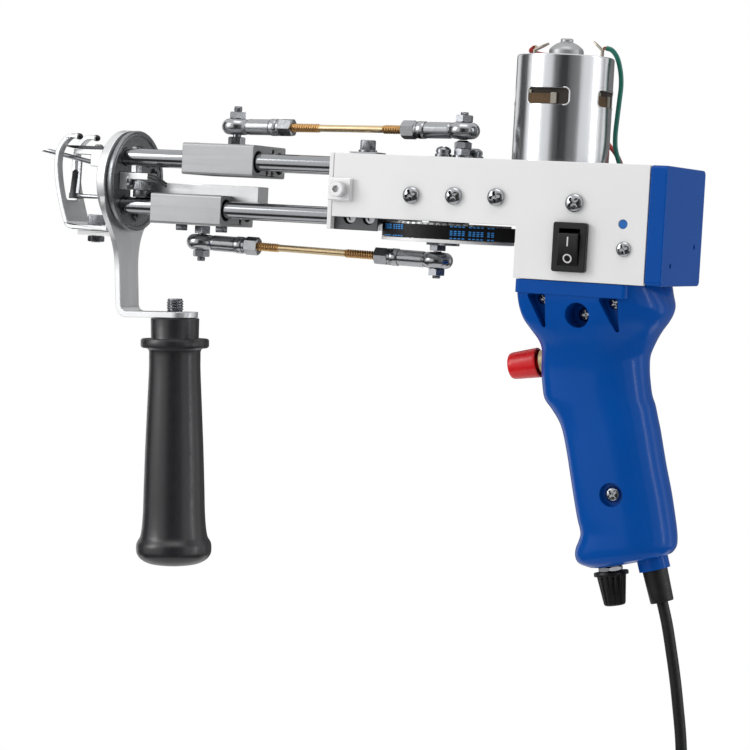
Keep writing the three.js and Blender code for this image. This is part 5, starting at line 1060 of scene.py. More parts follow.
def terminal(base, tip):
    """A flat tag that leans over the motor's top, with a foot; base and tip are (across, up)."""
    way = Vector((tip[0] - base[0], tip[1] - base[1]))
    long = way.length
    flat = filleted([(-1.6, 0), (1.6, 0), (1.6, long * 0.6), (0.8, long), (-0.8, long), (-1.6, long * 0.6)], 0.3, 2)
    tab = cut(prism(flat, -0.35, 0.35, "x"), rod("x", 0.6, 0, long * 0.7, -2, 2, 16))
    lean = shift(base[0], 0, base[1]) @ turn("Y", degrees(atan2(way.x, way.y)))
    foot = prism(rect(2.4, 4.4, 0.8, base[0], 0), 95.6, 96.7)
    post = box(base[0] - 0.35, base[0] + 0.35, -1.4, 1.4, 96, base[1] + 0.3)
    return together(moved(tab, lean), foot, post)


def window_rims():
    """The rolled rims of the four windows, lying on the can's surface."""
    rims = []
    for k in range(4):
        line = []
        for u, z in rect(2 * WINDOW_HALF + 0.3, 7.5, 2.0, 0, WINDOW_Z, 6):
            line.append((*polar(CAN_RADIUS - 0.05, asin(u / CAN_RADIUS) + PI / 2 * k), z))
        rims.append(tube(line, 0.3, 8, closed=True))
    return together(*rims)


def behind_windows(*boxes):
    """Boxes that show in each of the four windows."""
    return together(*[moved(box(*sizes), quarter) for quarter in QUARTERS for sizes in boxes])


MOTOR = shift(MOTOR_X)
piece("motor_shell", motor_shell(), can_metal, "motor_can", at=MOTOR, even=True, smooth=28)
terminals = together(terminal((-14.6, 99.3), (-8.3, 102.3)), terminal((16.5, 99.6), (12.3, 103.4)))
piece("motor_terminals", terminals, solder, at=MOTOR, bevel=0.1)
piece("motor_window_rims", window_rims(), bright_zinc, at=MOTOR, smooth=60)
# The dark sheet behind each window is painted shade, standing for the motor's shaded inside.
piece("motor_inside_painted_shade", behind_windows((18.78, 18.85, -9.4, 9.4, 74.95, 81.95)), painted_shade_inside, at=MOTOR)
piece("motor_inside_board", behind_windows((18.85, 19.3, -8.8, 2.2, 75.0, 79.6)), brown_inside, at=MOTOR, bevel=0.2)
# The first box is a brush holder; the second, small one at each window's upper left is a painted highlight.
brush_and_highlight = behind_windows((18.85, 19.9, 1.2, 3.9, 75.2, 79.9), (18.85, 19.6, -8.9, -7.7, 79.4, 81.0))
piece("motor_inside_brush_and_highlight", brush_and_highlight, brush_grey_and_highlight, at=MOTOR, bevel=0.2)

# Belt drive
BIG, SMALL = 28.1, 6.61
SPAN = MOTOR_X - CRANK_X
CRANK = shift(CRANK_X)
PULLEY_LOW, PULLEY_HIGH = 13.9, 21.7
BELT_IN, BELT_OUT = 0.3, 1.5
TOOTH_DEPTH = 1.1
TOOTH = ((0, 0.0), (0.06, 0.0), (0.44, 0.0), (0.5, 0.0), (0.6, 0.75), (0.68, 1.0), (0.82, 1.0), (0.9, 0.75))


def toothed(teeth, radius, *bores):
    points = [polar(radius - TOOTH_DEPTH * deep, 2 * PI * (i + at) / teeth) for i in range(teeth) for at, deep in TOOTH]
    return prism([points, *bores], PULLEY_LOW, PULLEY_HIGH)


small_pulley = together(
    toothed(15, SMALL),
    lathe([(0, 12.9), (7.9, 12.9), (8.2, 13.2), (8.2, 14.2), (7.9, 14.5), (0, 14.5)], 64),
    lathe([(0, 21.05), (7.9, 21.05), (8.2, 21.2), (8.2, 21.5), (7.9, 21.7), (0, 21.7)], 64),
    rod("z", 2.5, 0, 0, 21, 29.7, 32),
)
piece("belt_pulley_small", small_pulley, milled, "motor_pulley", at=MOTOR, body="motor_rotor", bevel=0.06)
hub = lathe([(4.25, 21.7), (9, 21.7), (9, 23.4), (8.8, 23.65), (4.25, 23.65)], 64, closed=True)
rim = lathe([(24, 13.1), (29.5, 13.1), (29.7, 13.3), (29.7, 14.4), (29.5, 14.6), (24, 14.6)], 128, closed=True)
piece("pulley_rim", rim, white_coat, at=CRANK, body="crank", smooth=40)
piece("belt_pulley_large", together(toothed(60, BIG, ring(4.25, n=32)), hub), white_metal, "driven_pulley", at=CRANK,
      body="crank", bevel=0.06)


def belt_run(extra):
    """The belt's two radii, and the angle where it leaves the pulleys."""
    big, small = BIG + extra, SMALL + extra
    return big, small, PI / 2 - asin((big - small) / SPAN)


def belt_loop(extra):
    big, small, a = belt_run(extra)
    return arc(0, 0, big, a, 2 * PI - a, 96) + arc(SPAN, 0, small, -a, a, 32)


belt = prism([belt_loop(BELT_OUT), belt_loop(BELT_IN)], 14.8, 20.8)
piece("drive_belt", belt, belt_rubber, "timing_belt", at=CRANK, bevel=0.12)
DASH_LONG, DASH_TALL, DASH_STEP, DASH_GAP = 1.15, 0.45, 1.75, 2.9
DASHES = ((-37.5, -21.5, (19.8, 19.0, 18.2, 15.1)), (-0.4, 19, (20.2, 18.2, 17.4, 16.6, 15.1)))


def belt_marks():
    """Rows of plain short dashes, one above the other, on the belt's near side."""
    big, small, a = belt_run(BELT_OUT)
    start = Vector((big * cos(a), -big * sin(a), 0))
    end = Vector((SPAN + small * cos(a), -small * sin(a), 0))
    way = (end - start).normalized()

    def place(s):
        """A point of the belt's outer face and its outward direction, s from where the straight run begins."""
        if s >= 0:
            return start + way * s, Vector((way.y, -way.x, 0))
        b = -a + s / big
        out = Vector((cos(b), sin(b), 0))
        return out * big, out

    bars = []
    for s, last, rows in DASHES:
        k = 0
        while s < last:
            for low in rows:
                bm = bmesh.new()
                c = []
                for base, out in (place(s), place(s + DASH_LONG)):
                    for lift in (-0.02, 0.05):
                        for z in (low, low + DASH_TALL):
                            c.append(bm.verts.new(base + out * lift + Vector((0, 0, z))))
                for f in ((0, 1, 3, 2), (4, 6, 7, 5), (0, 4, 5, 1), (2, 3, 7, 6), (0, 2, 6, 4), (1, 5, 7, 3)):
                    bm.faces.new([c[i] for i in f])
                bars.append(mesh_of(bm))
            k += 1
            s += DASH_STEP if k % 4 else DASH_GAP
    return together(*bars)


piece("belt_dashes", belt_marks(), blue_mark, at=CRANK)

# Crank
PHASE, THROW = -0.592, 8
TOP_PIN = Vector((*polar(THROW, PHASE, CRANK_X), 0))
LOW_PIN = Vector((*polar(-THROW, PHASE, CRANK_X), 0))
TOP_AT, LOW_AT = (pin - Vector((CRANK_X, 0, 0)) for pin in (TOP_PIN, LOW_PIN))


def bearing_block():
    block = box(-79, -37, -INSIDE, INSIDE, 24.2, 44.4)
    bores = ((11.25, 20, 31.45), (11.25, 37.15, 50), (8, 22, 46))
    holes = [rod("z", r, CRANK_X, 0, low, high, 64) for r, low, high in bores]
    holes += [rod("y", 2.1, x, SCREW_Z, *ends, 32) for x in SCREW_XS[:2] for ends in ((-26, -12.4), (12.4, 26))]
    return cut(block, *holes)


piece("crank_block", bearing_block(), milled, "crank_bearing_block", bevel=0.25)
bearing_profile = [
    (4.3, 37.4), (10.7, 37.4), (11, 37.7), (11, 44.1), (10.7, 44.4), (9.5, 44.4), (9.3, 43.9), (6.3, 43.9),
    (6.1, 44.4), (4.6, 44.4), (4.3, 44.1),
]
bearing = lathe(bearing_profile, 96, closed=True)
piece("crank_ball_bearing", bearing, polished, "crank_bearing_top", at=CRANK, smooth=25)


def crank_disc():
    disc = [(0, 46.4), (14.2, 46.4), (14.6, 46.8), (14.6, 50.5), (14.2, 50.9), (9.6, 50.9), (9.4, 50.75), (0, 50.75)]
    shaft = [(0, 12.7), (3.8, 12.7), (4, 12.9), (4, 47), (0, 47)]
    washer = [(0, 50.7), (4.4, 50.7), (4.5, 50.8), (4.5, 51.9), (4.4, 52), (0, 52)]
    pin = shift(*TOP_AT)
    parts = [lathe(disc, 96), lathe(shaft, 48), moved(lathe(washer, 40), pin)]
    for z, spin in ((52, 14), (54.95, 36)):
        parts.append(moved(hexnut(7, 2.9), pin @ shift(0, 0, z) @ turn("Z", spin)))
    for k, (angle, far) in enumerate(((-1.69, 8.2), (0.454, 10))):
        at = shift(far * cos(angle), far * sin(angle), 0)
        parts.append(moved(lathe([(0, 50.7), (3.7, 50.7), (3.8, 50.8), (3.8, 52.1), (3.7, 52.2), (0, 52.2)], 40), at))
        parts.append(moved(cross_head(3.4, 2.9, 25 + 30 * k), at @ shift(0, 0, 52.8)))
        parts.append(moved(rod("z", 3.1, 0, 0, 52.1, 52.9, 24), at))
    return together(*parts)


piece("crank_disc", crank_disc(), steel, "crankshaft", at=CRANK, body="crank", smooth=40)
piece("crank_pin_boot", lathe([(0, 57.7), (3.1, 57.7), (3.1, 57.9), (2.3, 58.4), (2.1, 58.6), (0, 58.6)], 40),
      dark_steel, at=CRANK @ shift(*TOP_AT), body="crank", smooth=40)


def low_crank():
    pin = LOW_AT
    turn_to = atan2(pin.y, pin.x)
    points = arc(0, 0, 5.3, turn_to + PI / 2, turn_to + 1.5 * PI, 20)
    points += arc(pin.x, pin.y, 5.3, turn_to - PI / 2, turn_to + PI / 2, 20)
    link = prism([points, ring(4.25, n=40)], 11.75, 13.65)
    return together(link, moved(hexnut(7, 2.8), shift(pin.x, pin.y, 9.2) @ turn("Z", 20)))


piece("crank_link_low", low_crank(), steel, "bottom_crank", at=CRANK, body="crank", bevel=0.1, smooth=40)


# Ball joints and rods
BALL, PIN, THREAD_BORE = 4, 1.95, 2.3


def ball_arc(r, start, steps):
    turns = (start + (PI - 2 * start) * i / steps for i in range(steps + 1))
    return [(r * sin(a), -r * cos(a)) for a in turns]


def ball_stud(foot, up, spacer, spin, tail=2.0):
    ball = ball_arc(BALL, asin(PIN / BALL), 20)
    parts = [lathe([(0, -foot), (1.7, -foot), (PIN, -foot + 0.25), *ball, (PIN, 6.9), (0, 6.9)], 48)]
    parts.append(moved(threaded(1.98, 0.3, 0.7, tail, 32), shift(0, 0, 6.85)))
    parts.append(moved(hexnut(7, 3.1), shift(0, 0, 3.75) @ turn("Z", spin)))
    if spacer:
        parts.append(moved(hexnut(7, spacer), shift(0, 0, -foot) @ turn("Z", spin + 17)))
    made = together(*parts)
    return made if up > 0 else moved(made, turn("X", 180))


def rod_end(spin):
    socket, half = 4.3, 3.6
    outer = [(half + half * cos(a), 3.65 * sin(a)) for a in (PI / 2 * (1 - i / 10) for i in range(21))]
    eye = lathe([*ball_arc(socket, acos(half / socket), 12), *outer], 96, closed=True)
    sleeve = [
        (0, 4.9), (2.3, 4.9), (2.6, 5.3), (3.1, 5.6), (3.5, 6.0), (3.65, 6.6), (3.65, 6.9), (3.65, 17.6), (3.65, 17.9),
        (3.35, 18.0), (3.35, 18.5), (3.85, 18.6), (3.95, 18.8), (3.95, 21.6), (3.85, 21.8), (3.45, 21.9), (3.45, 22.4),
        (3.8, 22.5), (3.8, 23.2), (3.5, 23.4), (0, 23.4),
    ]
    body = moved(lathe(sleeve, 80), ALONG_X)
    nut = moved(hexnut(7.4, 6.4), shift(23.4) @ ALONG_X @ turn("Z", spin))
    bore = rod("x", THREAD_BORE, 0, 0, 14.35, 32, 32)
    return together(eye, cut(body, bore), cut(nut, bore))


THREAD_FROM, THREAD_OVER = 14.6, 0.6
TOP_BALL, LOW_BALL = (-170.2, 0, 61.4), (-186.2, 0, 6.9)
NEEDLE_LOW, NEEDLE_TOP, HOOK_LOW, HOOK_TOP = 38.2, 52.8, 14.8, 29


def connecting_rod(name, front, rear, up, spins, front_end, rear_end):
    """A rod between two ball joints; front_end and rear_end are how far from them its threads reach."""
    body = name + "_rod"
    reach = Vector(rear) - Vector(front)
    long = reach.length
    at = shift(*front) @ Vector((1, 0, 0)).rotation_difference(reach.normalized()).to_matrix().to_4x4()
    back = at @ shift(long) @ turn("Z", 180)
    for end, place, spin in (("front", at, spins[0]), ("rear", back, spins[1])):
        piece(f"{name}_rod_eye_{end}", rod_end(spin), zinc, f"{name}_rod_{end}_end", at=place, body=body, smooth=30)
    low, high = front_end - THREAD_OVER, long - rear_end + THREAD_OVER
    plain = moved(lathe([(0, low), (1.6, low), (1.6, high), (0, high)], 40), ALONG_X)
    piece(f"{name}_rod_brass", plain, brass, name + "_rod_bar", at=at, body=body, smooth=25)
    threads = [
        moved(threaded(2.0, 0.5, 1.2, end - THREAD_FROM, 36, 8), shift(start) @ ALONG_X)
        for end, start in ((front_end, THREAD_FROM), (rear_end, long - rear_end))
    ]
    piece(f"{name}_rod_threads", together(*threads), thread_brass, at=at, body=body, smooth=25)
    piece(f"{name}_rod_ball_rear", ball_stud(4.05, up, 0, spins[2], 1.3), steel, name + "_ball_rear", at=shift(*rear),
          body=body, smooth=30)


connecting_rod("top", TOP_BALL, (*TOP_PIN.xy, 62.9), 1, (8, 20, 12), 44.4, 40.4)
connecting_rod("bottom", LOW_BALL, (*LOW_PIN.xy, 4.9), -1, (24, 3, 40), 40.8, 45.6)
piece("top_ball_stud_front", ball_stud(TOP_BALL[2] - NEEDLE_TOP - BITE, 1, 3.6, 33, 2.6), steel, "top_ball_front",
      at=shift(*TOP_BALL), body="needle_slider", smooth=30)
piece("bottom_ball_stud_front", ball_stud(HOOK_LOW - LOW_BALL[2] - BITE, -1, 3.6, 16), steel, "bottom_ball_front",
      at=shift(*LOW_BALL), body="hook_slider", smooth=30)


# Carriages
def carriage(front, rear, low, high, shaft_z, holes):
    shape = rect(32.4, high - low, 1.2, 0, (low + high) / 2, 5)
    tools = []
    for y in (-SHAFT_Y, SHAFT_Y):
        tools.append(rod("x", 4.3, y, shaft_z, front - 2, rear + 2))
        tools += [rod("x", 5.1, y, shaft_z, end - 2, end + 2, 56) for end in (front, rear)]
    for y, z in holes:
        tools += [rod("x", 1.35, y, z, *ends, 24) for ends in ((rear - 4, rear + 2), (front - 2, front + 4))]
    return cut(prism(shape, front, rear, "x"), *tools)


def seal(name, body, x, y, z, side):
    profile = [(4.45, 0), (5.0, 0), (5.0, 1.7), (4.8, 1.95), (4.62, 1.95), (4.45, 1.6)]
    at = shift(x, y, z) @ (ALONG_X if side > 0 else turn("Y", -90))
    piece(name, lathe(profile, 64, closed=True), rubber, at=at, body=body, smooth=50)


NEEDLE_ENDS, HOOK_ENDS = (-189.8, -152.6), (-205.6, -168.2)
needle_block = carriage(*NEEDLE_ENDS, NEEDLE_LOW, NEEDLE_TOP, UPPER_Z, [(-1.5, 40.5), (3.6, 40.4), (3.6, 50.1)])
piece("needle_block", needle_block, milled, "needle_carriage", body="needle_slider", bevel=0.2)
hook_block = carriage(*HOOK_ENDS, HOOK_LOW, HOOK_TOP, LOWER_Z, [(-1.2, 24.8), (3.6, 17.4)])
hook_block = cut(hook_block, box(-210, -160, -5.25, 5.25, 26.15, 31))
piece("hook_block", hook_block, milled, "hook_carriage", body="hook_slider", bevel=0.2)
for tag, (front, rear), z in (("needle", NEEDLE_ENDS, UPPER_Z), ("hook", HOOK_ENDS, LOWER_Z)):
    for k, y in enumerate((-SHAFT_Y, SHAFT_Y)):
        seal(f"{tag}_seal_front_{k + 1}", tag + "_slider", front + 2, y, z, -1)
        seal(f"{tag}_seal_rear_{k + 1}", tag + "_slider", rear - 2, y, z, 1)
for k, (x, y) in enumerate(((-184.6, -11.6), (-158.4, -11.6), (-184.6, 11.6), (-158.4, 11.6))):
    mark = cut(lathe([(0, -1), (1.5, -1), (1.5, 0.25), (1.3, 0.35), (0, 0.35)], 32), prism(ring(0.8, n=6), -0.4, 1))
    piece(f"needle_block_set_screw_{k + 1}", mark, dark_steel, at=shift(x, y, 52.6), body="needle_slider")
for k, x in enumerate((-192.1, -170.9)):
    piece(f"hook_block_screw_{k + 1}", cap_screw(2.7, 2.8, 2.5), steel, at=shift(x, -9.5, HOOK_LOW) @ DOWN,
          body="hook_slider", bevel=0.08, smooth=40)

# Needle and hook
NEEDLE_SLOPE, NEEDLE_TIP, NEEDLE_REAR, HOOK_ROD_Z = 0.182, -277.4, -240.6, 25.6
NEEDLE = shift(NEEDLE_TIP, 0, 47.4) @ Matrix.Rotation(NEEDLE_SLOPE, 4, "Y") @ ALONG_X
NEEDLE_LONG = (NEEDLE_REAR - NEEDLE_TIP) / cos(NEEDLE_SLOPE)


def needle_tube():
    long = NEEDLE_LONG
    profile = [(0.65, 0.1), (0.95, 0.1), (1.1, 0.4), (1.1, long - 0.2), (1.0, long), (0.65, long)]
    slant = moved(box(-12, 12, -12, 12, -20, 0), shift(0, 0, 2.4) @ turn("Y", 62))
    return cut(lathe(profile, 40, closed=True), slant)


piece("needle_tube", needle_tube(), polished, "needle", at=NEEDLE, body="needle_slider", smooth=30)
bar = join(box(-247.15, -190.05, -3.4, 3.4, 42.6, 46.8), box(-247.4, -241, -3.4, 3.4, 40.1, 45.2),
           box(-257, -240.8, -3.4, 3.4, 45.6, 48.1))
bar = cut(bar, moved(rod("z", 1.35, 0, 0, 0, NEEDLE_LONG + 2), NEEDLE))
piece("needle_arm", bar, white_metal, "needle_bar", body="needle_slider", bevel=0.3)
blade = prism([(-265.4, 49.75), (-257.4, 48.35), (-240.8, 48.35), (-240.8, 49.75)], -3.2, 3.2, "y")
piece("thread_blade", blade, dark_steel, "needle_blade", body="needle_slider", bevel=0.12)
piece("blade_screw", cross_head(1.9, 1.1, 30), steel, at=shift(-245, 0, 49.75), body="needle_slider", bevel=0.05)
hook_arm = join(box(-213.5, -154.8, -5, 5, 26.4, 33.9), box(-213.5, -205.85, -5, 5, 23, 26.65))
hook_arm = cut(hook_arm, rod("x", 1.4, 0, HOOK_ROD_Z, -216, -205))
piece("hook_arm_bar", hook_arm, white_metal, "hook_bar", body="hook_slider", bevel=0.3)
hook_rod = lathe([(0, -258), (1.0, -258), (1.0, -208.3), (0.8, -208.1), (0, -208.1)], 32)
upright = filleted([(-259.4, 24.3), (-257.6, 24.3), (-257.0, 43.6), (-258.8, 43.6)], [0.1, 0.1, 0.8, 0.8], 4)
hook_arm_rod = together(moved(hook_rod, shift(0, 0, HOOK_ROD_Z) @ ALONG_X), prism(upright, 3.8, 5.1, "y"))
piece("hook_rod_and_arm", hook_arm_rod, zinc, body="hook_slider", bevel=0.12)
hook_blade = [(-260.3, 24.3), (-257.6, 24.3), (-256.2, 37.2), (-257.5, 38.6), (-258.9, 37.2)]
hook_parts = together(
    prism(filleted([(-260.3, -1.15), (-255.7, -1.15), (-255.7, 5.1), (-260.3, 5.1)], 0.5, 4), 24.3, 26.9),
    prism(filleted(hook_blade, [0.1, 0.1, 0.5, 0.6, 0.5], 4), -0.7, 0.7, "y"),
)
piece("hook_and_rod", hook_parts, dark_steel, "hook", body="hook_slider", bevel=0.15)


# Small parts on the ring block
piece("ring_block_screw", button_screw(3.0, 2.2, 2.6), zinc, at=shift(-219.05, -13.7, 34.0) @ ALONG_X, smooth=40)
roller = lathe([(0, 26.4), (4.2, 26.4), (4.4, 26.7), (4.4, 29.4), (4.2, 29.6), (4.6, 29.9), (4.6, 33.4), (4.3, 33.8),
                (0, 33.8)], 144, flutes=36, flute_depth=0.16, fluted=(5, 6))
piece("thread_roller", roller, steel, at=shift(-212.6, -12.2, 0), smooth=40)
for k, z in enumerate((37.4, 36.1)):
    line = catmull([(-222.6, -14.6, z + 0.1), (-213, -15.2, z), (-206.3, -15.6, z - 0.5), (-201.2, -15.8, z - 2.2),
                    (-197.6, -15.8, z - 4.2)], 8)
    piece(f"thread_lever_{k + 1}", tube(line, 0.5, 16), black, smooth=60)
for k, (y, z) in enumerate(((16.4, 38.4), (0, 17.8))):
    piece(f"ring_set_screw_{k + 1}", together(moved(hexnut(5, 1.6), turn("Z", 15)), rod("z", 1.4, 0, 0, 1.4, 2.5, 24)),
          steel, at=shift(-223.3, y, z) @ ALONG_X, bevel=0.05, smooth=40)

# Grip
GRIP_X, GRIP_DEPTH, GRIP_LONG, GRIP_HALF, GRIP_WALL, SPLIT = -17.2, 60, 124.4, 26, 2.6, 0.12
GRIP_ROWS = [
    [-0.005, 0, 0.960, 0, 1.045, 16, 4], [-0.006, 0.022, 0.990, 0.030, 1.040, 16, 3.2],
    [-0.004, 0.062, 1.020, 0.067, 1.020, 14, 2.8], [0.006, 0.099, 1.017, 0.096, 0.990, 12, 2.6],
    [0.030, 0.139, 0.990, 0.126, 0.955, 9, 2.5], [0.076, 0.178, 0.943, 0.161, 0.890, 6.4, 2.5],
    [0.108, 0.209, 0.902, 0.203, 0.820, 4.6, 2.5], [0.119, 0.240, 0.873, 0.247, 0.760, 3.6, 2.5],
    [0.110, 0.274, 0.875, 0.292, 0.720, 3.0, 2.5], [0.104, 0.312, 0.885, 0.328, 0.700, 2.7, 2.5],
    [0.115, 0.368, 0.907, 0.381, 0.690, 2.6, 2.5], [0.138, 0.417, 0.937, 0.417, 0.685, 2.6, 2.5],
    [0.197, 0.451, 0.960, 0.457, 0.680, 2.6, 2.5], [0.258, 0.490, 0.985, 0.501, 0.680, 2.6, 2.5],
    [0.295, 0.529, 1.007, 0.546, 0.680, 2.6, 2.5], [0.338, 0.606, 1.047, 0.626, 0.675, 2.6, 2.5],
    [0.383, 0.704, 1.095, 0.711, 0.670, 2.6, 2.5], [0.438, 0.818, 1.137, 0.800, 0.660, 2.6, 2.5],
    [0.473, 0.875, 1.157, 0.850, 0.650, 2.6, 2.5], [0.465, 0.904, 1.163, 0.875, 0.650, 2.6, 2.5],
    [0.443, 0.936, 1.162, 0.897, 0.645, 2.6, 2.5], [0.443, 0.965, 1.145, 0.915, 0.620, 2.6, 2.5],
    [0.473, 0.987, 1.118, 0.927, 0.570, 2.6, 2.5], [0.553, 0.999, 1.053, 0.935, 0.490, 2.5, 2.5],
]


def row_between(a, b, c, d, t):
    return [
        0.5 * (2 * q + (r - p) * t + (2 * p - 5 * q + 4 * r - s) * t * t + (3 * q - p - 3 * r + s) * t**3)
        for p, q, r, s in zip(a, b, c, d)
    ]


def grip_rows(steps):
    rows = []
    last = len(GRIP_ROWS) - 1
    for i in range(last):
        a, b, c, d = (GRIP_ROWS[min(max(k, 0), last)] for k in (i - 1, i, i + 1, i + 2))
        rows += [row_between(a, b, c, d, j / steps) for j in range(steps)]
    return [*rows, GRIP_ROWS[last]]


def half_section(row, wall, steps):
    """Half of the grip's section at a row, from its front edge round the near side to its rear edge."""
    *edges, width, front_square, rear_square = row
    fx, rx = (GRIP_X + a * GRIP_DEPTH for a in edges[::2])
    fz, rz = (-BITE - d * (GRIP_LONG - BITE) for d in edges[1::2])
    half = hypot(rx - fx, rz - fz) / 2
    mx, mz = (fx + rx) / 2, (fz + rz) / 2
    ux, uz = (rx - fx) / (2 * half), (rz - fz) / (2 * half)
    points = []
    for i in range(steps + 1):
        a = PI * i / steps
        square = front_square if a < PI / 2 else rear_square
        c = cos(a)
        reach = -copysign(abs(c) ** (2 / square), c) * (half - wall)
        out = max(0.0, sin(a)) ** (2 / square) * (width * GRIP_HALF - wall)
        points.append((mx + ux * reach, -out, mz + uz * reach))
    return points


def half_grip(wall, lift, parting, row_steps=6, steps=72):
    rows = [half_section(row, wall, steps) for row in grip_rows(row_steps)]
    rows[0] = [(x, y, z + lift) for x, y, z in rows[0]]
    rows[-1] = [(x, y, z + wall) for x, y, z in rows[-1]]
    bm = bmesh.new()
    rings = []
    for row in rows:
        rings.append([
            bm.verts.new((x, parting if i in (0, steps) else min(y, parting), z)) for i, (x, y, z) in enumerate(row)
        ])
    bridge(bm, rings)
    bm.faces.new(rings[0])
    if wall == 0:
        # The bottom end is a shallow dome instead of a flat cut.
        rings = rings[-1:]
        last = [v.co.copy() for v in rings[0]]
        centre = sum(last, Vector()) / len(last)
        centre.y = parting
        for share, drop in ((0.93, 0.35), (0.8, 0.75), (0.6, 1.0), (0.3, 1.15)):
            rings.append([])
            for p in last:
                q = centre + (p - centre) * share
                q.y = parting if abs(p.y - parting) < 1e-6 else min(q.y, parting)
                rings[-1].append(bm.verts.new((q.x - drop * 0.35, q.y, q.z - drop)))
        bridge(bm, rings)
    bm.faces.new(rings[-1])
    return mesh_of(bm, 0.0005)


POCKET_FRONTS, POCKET_WIDE, POCKET_TALL, POCKET_TOP, POCKET_BACK = (-11.9, 20.2), 8.6, 17.2, 6.2, 18.4
PORT_X, PORT_Z, PORT_BACK = 11.0, -14.2, 13.3
SCREW_IN_X, SCREW_IN_Z, SCREW_IN_BACK = 28.2, -90.1, 14.0
TRIGGER = shift(-9.6, 0, -36.2) @ Matrix.Rotation(-0.2, 4, "Y")
DIAL = shift(24.1, 0, -122.5) @ Matrix.Rotation(-0.19, 4, "Y")


def pocket(x):
    rear = x + POCKET_WIDE
    flat = [(x, -POCKET_TOP), (rear, -POCKET_TOP - POCKET_TALL), (rear, -POCKET_TOP)]
    return prism(filleted(flat, 0.9, 5), -40, -POCKET_BACK, "y")


def grip_shell():
    outer = half_grip(0, 0, -SPLIT)
    inner = half_grip(GRIP_WALL, 5, 2, 3, 48)
    flange = plate(filleted([(-17.4, -27.4), (33, -27.4), (33, 3), (-17.4, 3)], [2.2, 2.2, 0, 0], 8), -6.05, -0.25,
                   "z", 0.3)
    flange = both(flange, box(-40, 60, -40, -SPLIT, -20, 5))
    collar = both(moved(rod("z", 6.8, 0, 0, -3.8, 6, 64), SLEEVE), box(0, 90, -20, -SPLIT, -160, 0))
    shell = join(outer, flange, collar)
    hollow = join(inner, box(-14.8, 30.4, -24.8, 5, -11, 2))
    hollow = cut(hollow, *[box(x - 2.6, x + POCKET_WIDE + 2.6, -40, -15.8, -25.8, -3.5) for x in POCKET_FRONTS],
                 rod("y", 6.7, PORT_X, PORT_Z, -40, -11.9, 48), rod("y", 6.5, SCREW_IN_X, SCREW_IN_Z, -26, -12.7, 48))
    shell = cut(shell, hollow)
    return cut(
        shell, *[pocket(x) for x in POCKET_FRONTS],
        rod("y", 5.4, PORT_X, PORT_Z, -40, -PORT_BACK, 64),
        rod("y", 5.2, SCREW_IN_X, SCREW_IN_Z, -40, -SCREW_IN_BACK, 64),
        moved(rod("x", 5.55, 0, 0, -20, 12, 64), TRIGGER), moved(rod("z", 3.65, 0, 0, -12, 12, 48), DIAL),
        moved(rod("z", 5.85, 0, 0, -30, 6.25, 64), SLEEVE))


shell = grip_shell()
piece("grip_half_near", shell, blue, "grip_shell_near", even=True, smooth=32)
piece("grip_half_far", shell, blue, "grip_shell_far", at=MIRROR, even=True, smooth=32)
for tag, side, facing in SIDES:
    for k, x in enumerate(POCKET_FRONTS):
        piece(f"grip_top_screw_{tag}_{k + 1}", cross_head(2.5, 1.8, 22 + 15 * k), zinc,
              at=shift(x + 5.2, side * POCKET_BACK, -8.4) @ facing, bevel=0.06, smooth=40)
    piece(f"grip_port_screw_{tag}", cross_head(3.1, 2.0, 12), zinc, at=shift(PORT_X, side * PORT_BACK, PORT_Z) @ facing,
          bevel=0.06, smooth=40)
    piece(f"grip_low_screw_{tag}", cross_head(3.4, 2.0, 40), zinc,
          at=shift(SCREW_IN_X, side * SCREW_IN_BACK, SCREW_IN_Z) @ facing, bevel=0.06, smooth=40)

# Trigger
bush = lathe([(3.2, -3.4), (4.9, -3.4), (5.3, -3.0), (5.3, 7.3), (5.0, 7.6), (3.4, 7.6), (3.2, 7.4)], 64, closed=True)
piece("trigger_guide", moved(bush, ALONG_X), cream, "trigger_bush", at=TRIGGER, smooth=40)
trigger_profile = [
    (0, -17.35), (2.6, -17.4), (4.4, -17.7), (5.0, -17.8), (5.5, -17.5), (5.85, -16.7), (6.0, -15.4), (6.55, -5.6),
    (6.6, -4.8), (6.45, -4.4), (5.75, -4.4), (5.6, -4.6), (5.6, -8.0), (2.7, -8.0), (2.7, -0.6), (2.4, -0.3), (0, -0.3),
]
piece("trigger_red", moved(lathe(trigger_profile, 96), ALONG_X), red, "trigger_button", at=TRIGGER, body="trigger")


# Switch
def switch_box(half_x, half_z, y0, y1):
    return box(SWITCH_X - half_x, SWITCH_X + half_x, y0, y1, SWITCH_Z - half_z, SWITCH_Z + half_z)


bezel = plate(rect(15, 21, 1.1, SWITCH_X, SWITCH_Z, 5), -30.9, -28.05, "y", 0.4, 4)
switch = cut(join(bezel, switch_box(6.3, 9.3, -29.15, -14.8)), switch_box(4.75, 7.9, -32, -17))
piece("switch_case", switch, black, "switch_housing", even=True, smooth=32)
ROCKER = shift(SWITCH_X, -22.6, SWITCH_Z) @ Matrix.Rotation(0.13, 4, "X")
ROCKER_R, ROCKER_HALF, ROCKER_DISH = 11.6, 7, 1.5
MARK_UNDER, MARK_OVER = -0.05, 0.06
ROCKER_SPAN = asin(ROCKER_HALF / ROCKER_R)


def rocker_face(share, lift=0.0):
    a = share * ROCKER_SPAN
    r = ROCKER_R - ROCKER_DISH * (1 - share * share) + lift
    return (-r * cos(a), r * sin(a))


rocker_outline = [(0, -ROCKER_HALF), *[rocker_face(2 * i / 24 - 1) for i in range(25)], (0, ROCKER_HALF)]
piece("rocker_key", prism(rocker_outline, -4.45, 4.45, "x"), black, "switch_rocker", at=ROCKER, body="rocker",
      bevel=0.3, segments=3)


